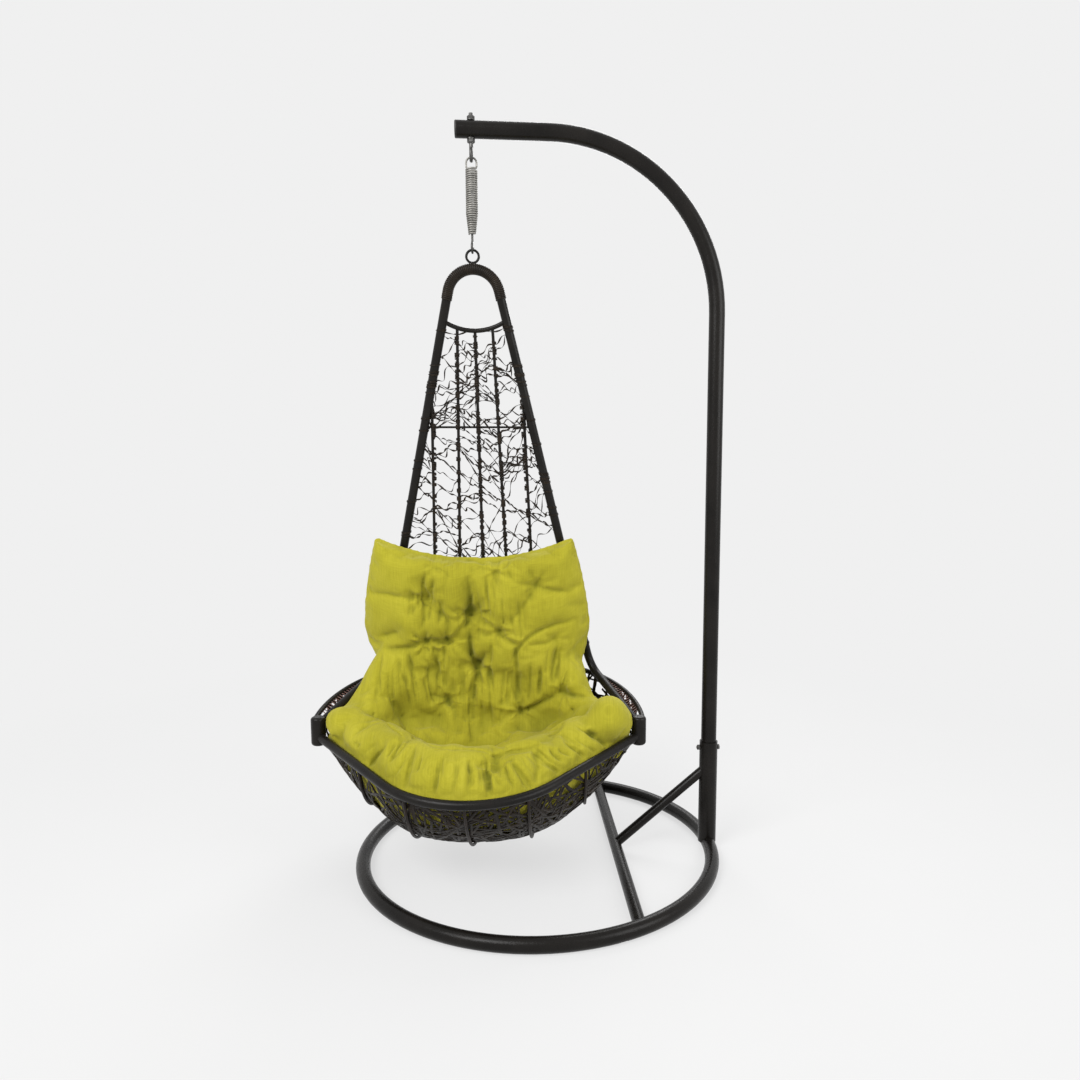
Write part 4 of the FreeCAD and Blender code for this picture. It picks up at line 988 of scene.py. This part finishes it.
for x, y, depth, reach in HOLLOWS:
    spot = cast(sight_tree, x, y)
    if spot is not None:
        gap = np.linalg.norm(start - np.array(spot), axis=1)
        drawn += depth * MM * np.exp(-(gap / (reach * MM)) ** 2)
start -= face_out * (drawn * free)[:, None]
start = relaxed(start, links, 1)
move_to(cushion.data, start)

# The filling swells against the stitches
group = cushion.vertex_groups.new(name="sewn")
for level in (CREASE_HOLD, 1.0):
    members = np.flatnonzero(np.isclose(pinned, level))
    group.add(members.tolist(), level, "REPLACE")
cloth = cushion.modifiers.new("cloth", "CLOTH")
settings = cloth.settings
settings.quality = 5
settings.mass = 0.25
settings.tension_stiffness = 12
settings.compression_stiffness = 12
settings.shear_stiffness = 5
settings.bending_stiffness = 0.35
settings.vertex_group_mass = "sewn"
settings.use_pressure = True
settings.uniform_pressure_force = 4
settings.shrink_min = -0.05
settings.effector_weights.gravity = 0
cloth.collision_settings.use_collision = False
cloth.point_cache.frame_end = SWELL_FRAMES
for moment in range(1, SWELL_FRAMES + 1):
    scene.frame_set(moment)
bake_modifiers(cushion)
scene.frame_set(1)
moved = places_of(cushion.data) - start
length = np.linalg.norm(moved, axis=1)
moved *= (np.minimum(length, SWELL_CAP) / np.maximum(length, 1e-9))[:, None]
start = start + moved
start = relaxed(start, links, 1, 0.35)
move_to(cushion.data, start)

# The cover stays clear of the frame and the bowl
neighbours = surface_of("back_frame", "front_rim", "corner_post_left", "corner_post_right", "bowl_weave")
for _ in range(2):
    for index, place in enumerate(start):
        spot, normal, _, _ = neighbours.find_nearest(Vector(place), CLEAR_REACH)
        if spot is not None and (Vector(place) - spot).dot(normal) < CLEAR:
            start[index] = spot + normal * CLEAR
    start = relaxed(start, links, 1, 0.3)
move_to(cushion.data, start)

# Wide hollows are kept as a share from 0 to 1 while the mesh is rounded, for painted shade in the cloth's
# colour
WIDE_HOLLOW = 0.02
wide_shade_share = np.clip(hollow_at(cushion.data, start, links, 160) / WIDE_HOLLOW, 0, 1)
hollow_shade = cushion.data.attributes.new("hollow_shade", "FLOAT", "POINT")
hollow_shade.data.foreach_set("value", relaxed(wide_shade_share, links, 6).astype(np.float32))
rounding = cushion.modifiers.new("rounding", "SUBSURF")
rounding.levels = 1
rounding.render_levels = 1
bake_modifiers(cushion)

# Fine folds on the finished form: the creases again, sharper, the gathers, and pleats round each tuft
FINE_CREASE = 0.00062
FINE_CREASE_WIDTH = 0.0036
FINE_GATHER = 0.0009
FINE_HOLLOW = 0.0075
FINE_FOLD_SHADE = 0.8
WIDE_HOLLOW_SHADE = 0.42
PLEAT_STEPS = 4
PLEAT_GAP = 0.03
FULL_PLEAT_DEPTH = 20
start = places_of(cushion.data)
links = links_of(cushion.data)
face_out = normals_of(cushion.data)
sight_tree = tree_of(cushion.data, start)
drawn = np.zeros(len(start))
for depth, _, marks in CREASES:
    spots = cast_line(sight_tree, marks)
    if len(spots) >= 2:
        drawn += press(start, depth * FINE_CREASE, FINE_CREASE_WIDTH, curve_through(spots, 10), JOINED)
for depth, width, marks in GATHERS:
    spots = cast_line(sight_tree, marks)
    if len(spots) >= 2:
        drawn += press(start, depth * FINE_GATHER, width * MM, curve_through(spots, 8), FADING)


def pleat(x, y, angle, near, far, bend):
    """A short fold that leaves a point of the picture and bends as it fades."""
    marks = []
    for step in range(PLEAT_STEPS + 1):
        run = near + (far - near) * step / PLEAT_STEPS
        turned = angle + bend * step / PLEAT_STEPS
        marks.append((x + run * math.cos(turned), y + run * math.sin(turned)))
    return cast_line(sight_tree, marks)


for x, y, depth in TUFTS:
    count = tuft_dice.randint(5, 8)
    turned = tuft_dice.uniform(0, FULL_TURN)
    for number in range(count):
        angle = turned + 2 * math.pi * number / count + tuft_dice.uniform(-0.3, 0.3)
        spots = pleat(x, y, angle, 2.0, tuft_dice.uniform(9, 24), tuft_dice.uniform(-0.5, 0.5))
        fine_depth = tuft_dice.uniform(0.0012, 0.0034) * depth / FULL_PLEAT_DEPTH
        fine_width = tuft_dice.uniform(0.0022, 0.0036)
        whole = len(spots) == PLEAT_STEPS + 1
        if whole and max((b - a).length for a, b in zip(spots, spots[1:])) < PLEAT_GAP:
            drawn += press(start, fine_depth, fine_width, curve_through(spots, 8), JOINED)
start -= face_out * drawn[:, None]
move_to(cushion.data, start)

# Folds and hollows get painted shade: its share is stored for the cloth's material
fine_shade_share = np.clip(hollow_at(cushion.data, start, links, 36) / FINE_HOLLOW, 0, 1)
wide_shade_share = np.zeros(len(start), np.float32)
cushion.data.attributes["hollow_shade"].data.foreach_get("value", wide_shade_share)
cushion.data.attributes.remove(cushion.data.attributes["hollow_shade"])
fold_shade_share = relaxed(np.maximum(FINE_FOLD_SHADE * fine_shade_share, WIDE_HOLLOW_SHADE * wide_shade_share), links, 1)
fold = cushion.data.attributes.new("fold", "FLOAT", "POINT")
fold.data.foreach_set("value", fold_shade_share.astype(np.float32))
cushion.data.polygons.foreach_set("use_smooth", [True] * len(cushion.data.polygons))
dress(cushion, FABRIC)
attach(cushion, "chair")
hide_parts("seat_cushion", "back_cushion")

# Camera, floor and light
camera_data = bpy.data.cameras.new("camera")
camera_data.lens = LENS
camera_data.sensor_width = SENSOR
camera_data.shift_x, camera_data.shift_y = SHIFT
camera = bpy.data.objects.new("camera", camera_data)
camera.location = CAMERA_PLACE
camera.rotation_euler = CAMERA_TURN
scene.collection.objects.link(camera)
scene.camera = camera

BACKGROUND = (0.871, 0.871, 0.871, 1)
AMBIENT = 0.52
FLOOR_HALF = 30
scene.view_settings.view_transform = "Standard"


def plain_rays(tree, first, *others):
    """1 for rays of these kinds, which see the plain backdrop, and 0 for those that light the object."""
    kinds = node(tree, "ShaderNodeLightPath").outputs
    share = kinds[first]
    for kind in others:
        share = math_node(tree, "MAXIMUM", share, kinds[kind])
    return share


world = bpy.data.worlds.new("studio")
scene.world = world
world.use_nodes = True
sky = world.node_tree
sky.nodes.clear()
ambient = node(sky, "ShaderNodeBackground", {"Color": (1, 1, 1, 1), "Strength": AMBIENT})
shown = node(sky, "ShaderNodeBackground", {"Color": BACKGROUND, "Strength": 1.0})
plain = plain_rays(sky, "Is Camera Ray", "Is Glossy Ray", "Is Transmission Ray")
both = node(sky, "ShaderNodeMixShader", {0: plain, 1: ambient.outputs[0], 2: shown.outputs[0]})
node(sky, "ShaderNodeOutputWorld", {"Surface": both.outputs[0]})

floor_material, floor_tree, floor_shader = new_material("floor", Roughness=0.9, Specular_IOR_Level=0.1)
mottle = noise(floor_tree, object_place(floor_tree), 3.0, 2.0)
floor_tree.links.new(ramp(floor_tree, mottle, [(0.2, (0.78, 0.78, 0.78)), (0.8, (0.80, 0.80, 0.80))]),
                     floor_shader.inputs["Base Color"])
floor_plain = node(floor_tree, "ShaderNodeEmission", {"Color": BACKGROUND, "Strength": 1.0})
floor_reach = node(floor_tree, "ShaderNodeVectorMath", {0: object_place(floor_tree)}, operation="LENGTH")
floor_fade = spread(floor_tree, floor_reach.outputs["Value"], 0.72, 1.0, 0.9, 2.6)
floor_rays = plain_rays(floor_tree, "Is Camera Ray", "Is Glossy Ray")
floor_share = math_node(floor_tree, "MULTIPLY", floor_rays, floor_fade)
floor_mix = node(floor_tree, "ShaderNodeMixShader", {
    0: floor_share, 1: floor_shader.outputs[0], 2: floor_plain.outputs[0]})
floor_tree.links.new(floor_mix.outputs[0], floor_tree.nodes["Material Output"].inputs["Surface"])
floor_corners = [(x * FLOOR_HALF, y * FLOOR_HALF, 0) for x, y in ((-1, -1), (1, -1), (1, 1), (-1, 1))]
floor_mesh = bpy.data.meshes.new("floor")
floor_mesh.from_pydata(floor_corners, [], [(0, 1, 2, 3)])
floor_mesh.materials.append(floor_material)
floor = bpy.data.objects.new("floor", floor_mesh)
scene.collection.objects.link(floor)


def softbox(name, place, target, size, power):
    lamp = bpy.data.lights.new(name, "AREA")
    lamp.shape = "DISK"
    lamp.size = size
    lamp.energy = power
    item = bpy.data.objects.new(name, lamp)
    item.location = place
    item.rotation_euler = (Vector(target) - Vector(place)).to_track_quat("-Z", "Y").to_euler()
    scene.collection.objects.link(item)


softbox("key", (-2.1, -2.5, 3.3), (-0.1, 0, 0.7), 2.4, 120)
softbox("fill", (2.6, -1.9, 1.9), (0, 0, 0.7), 2.2, 45)
softbox("rear", (0.6, 2.6, 2.9), (0, 0, 0.8), 2.0, 60)
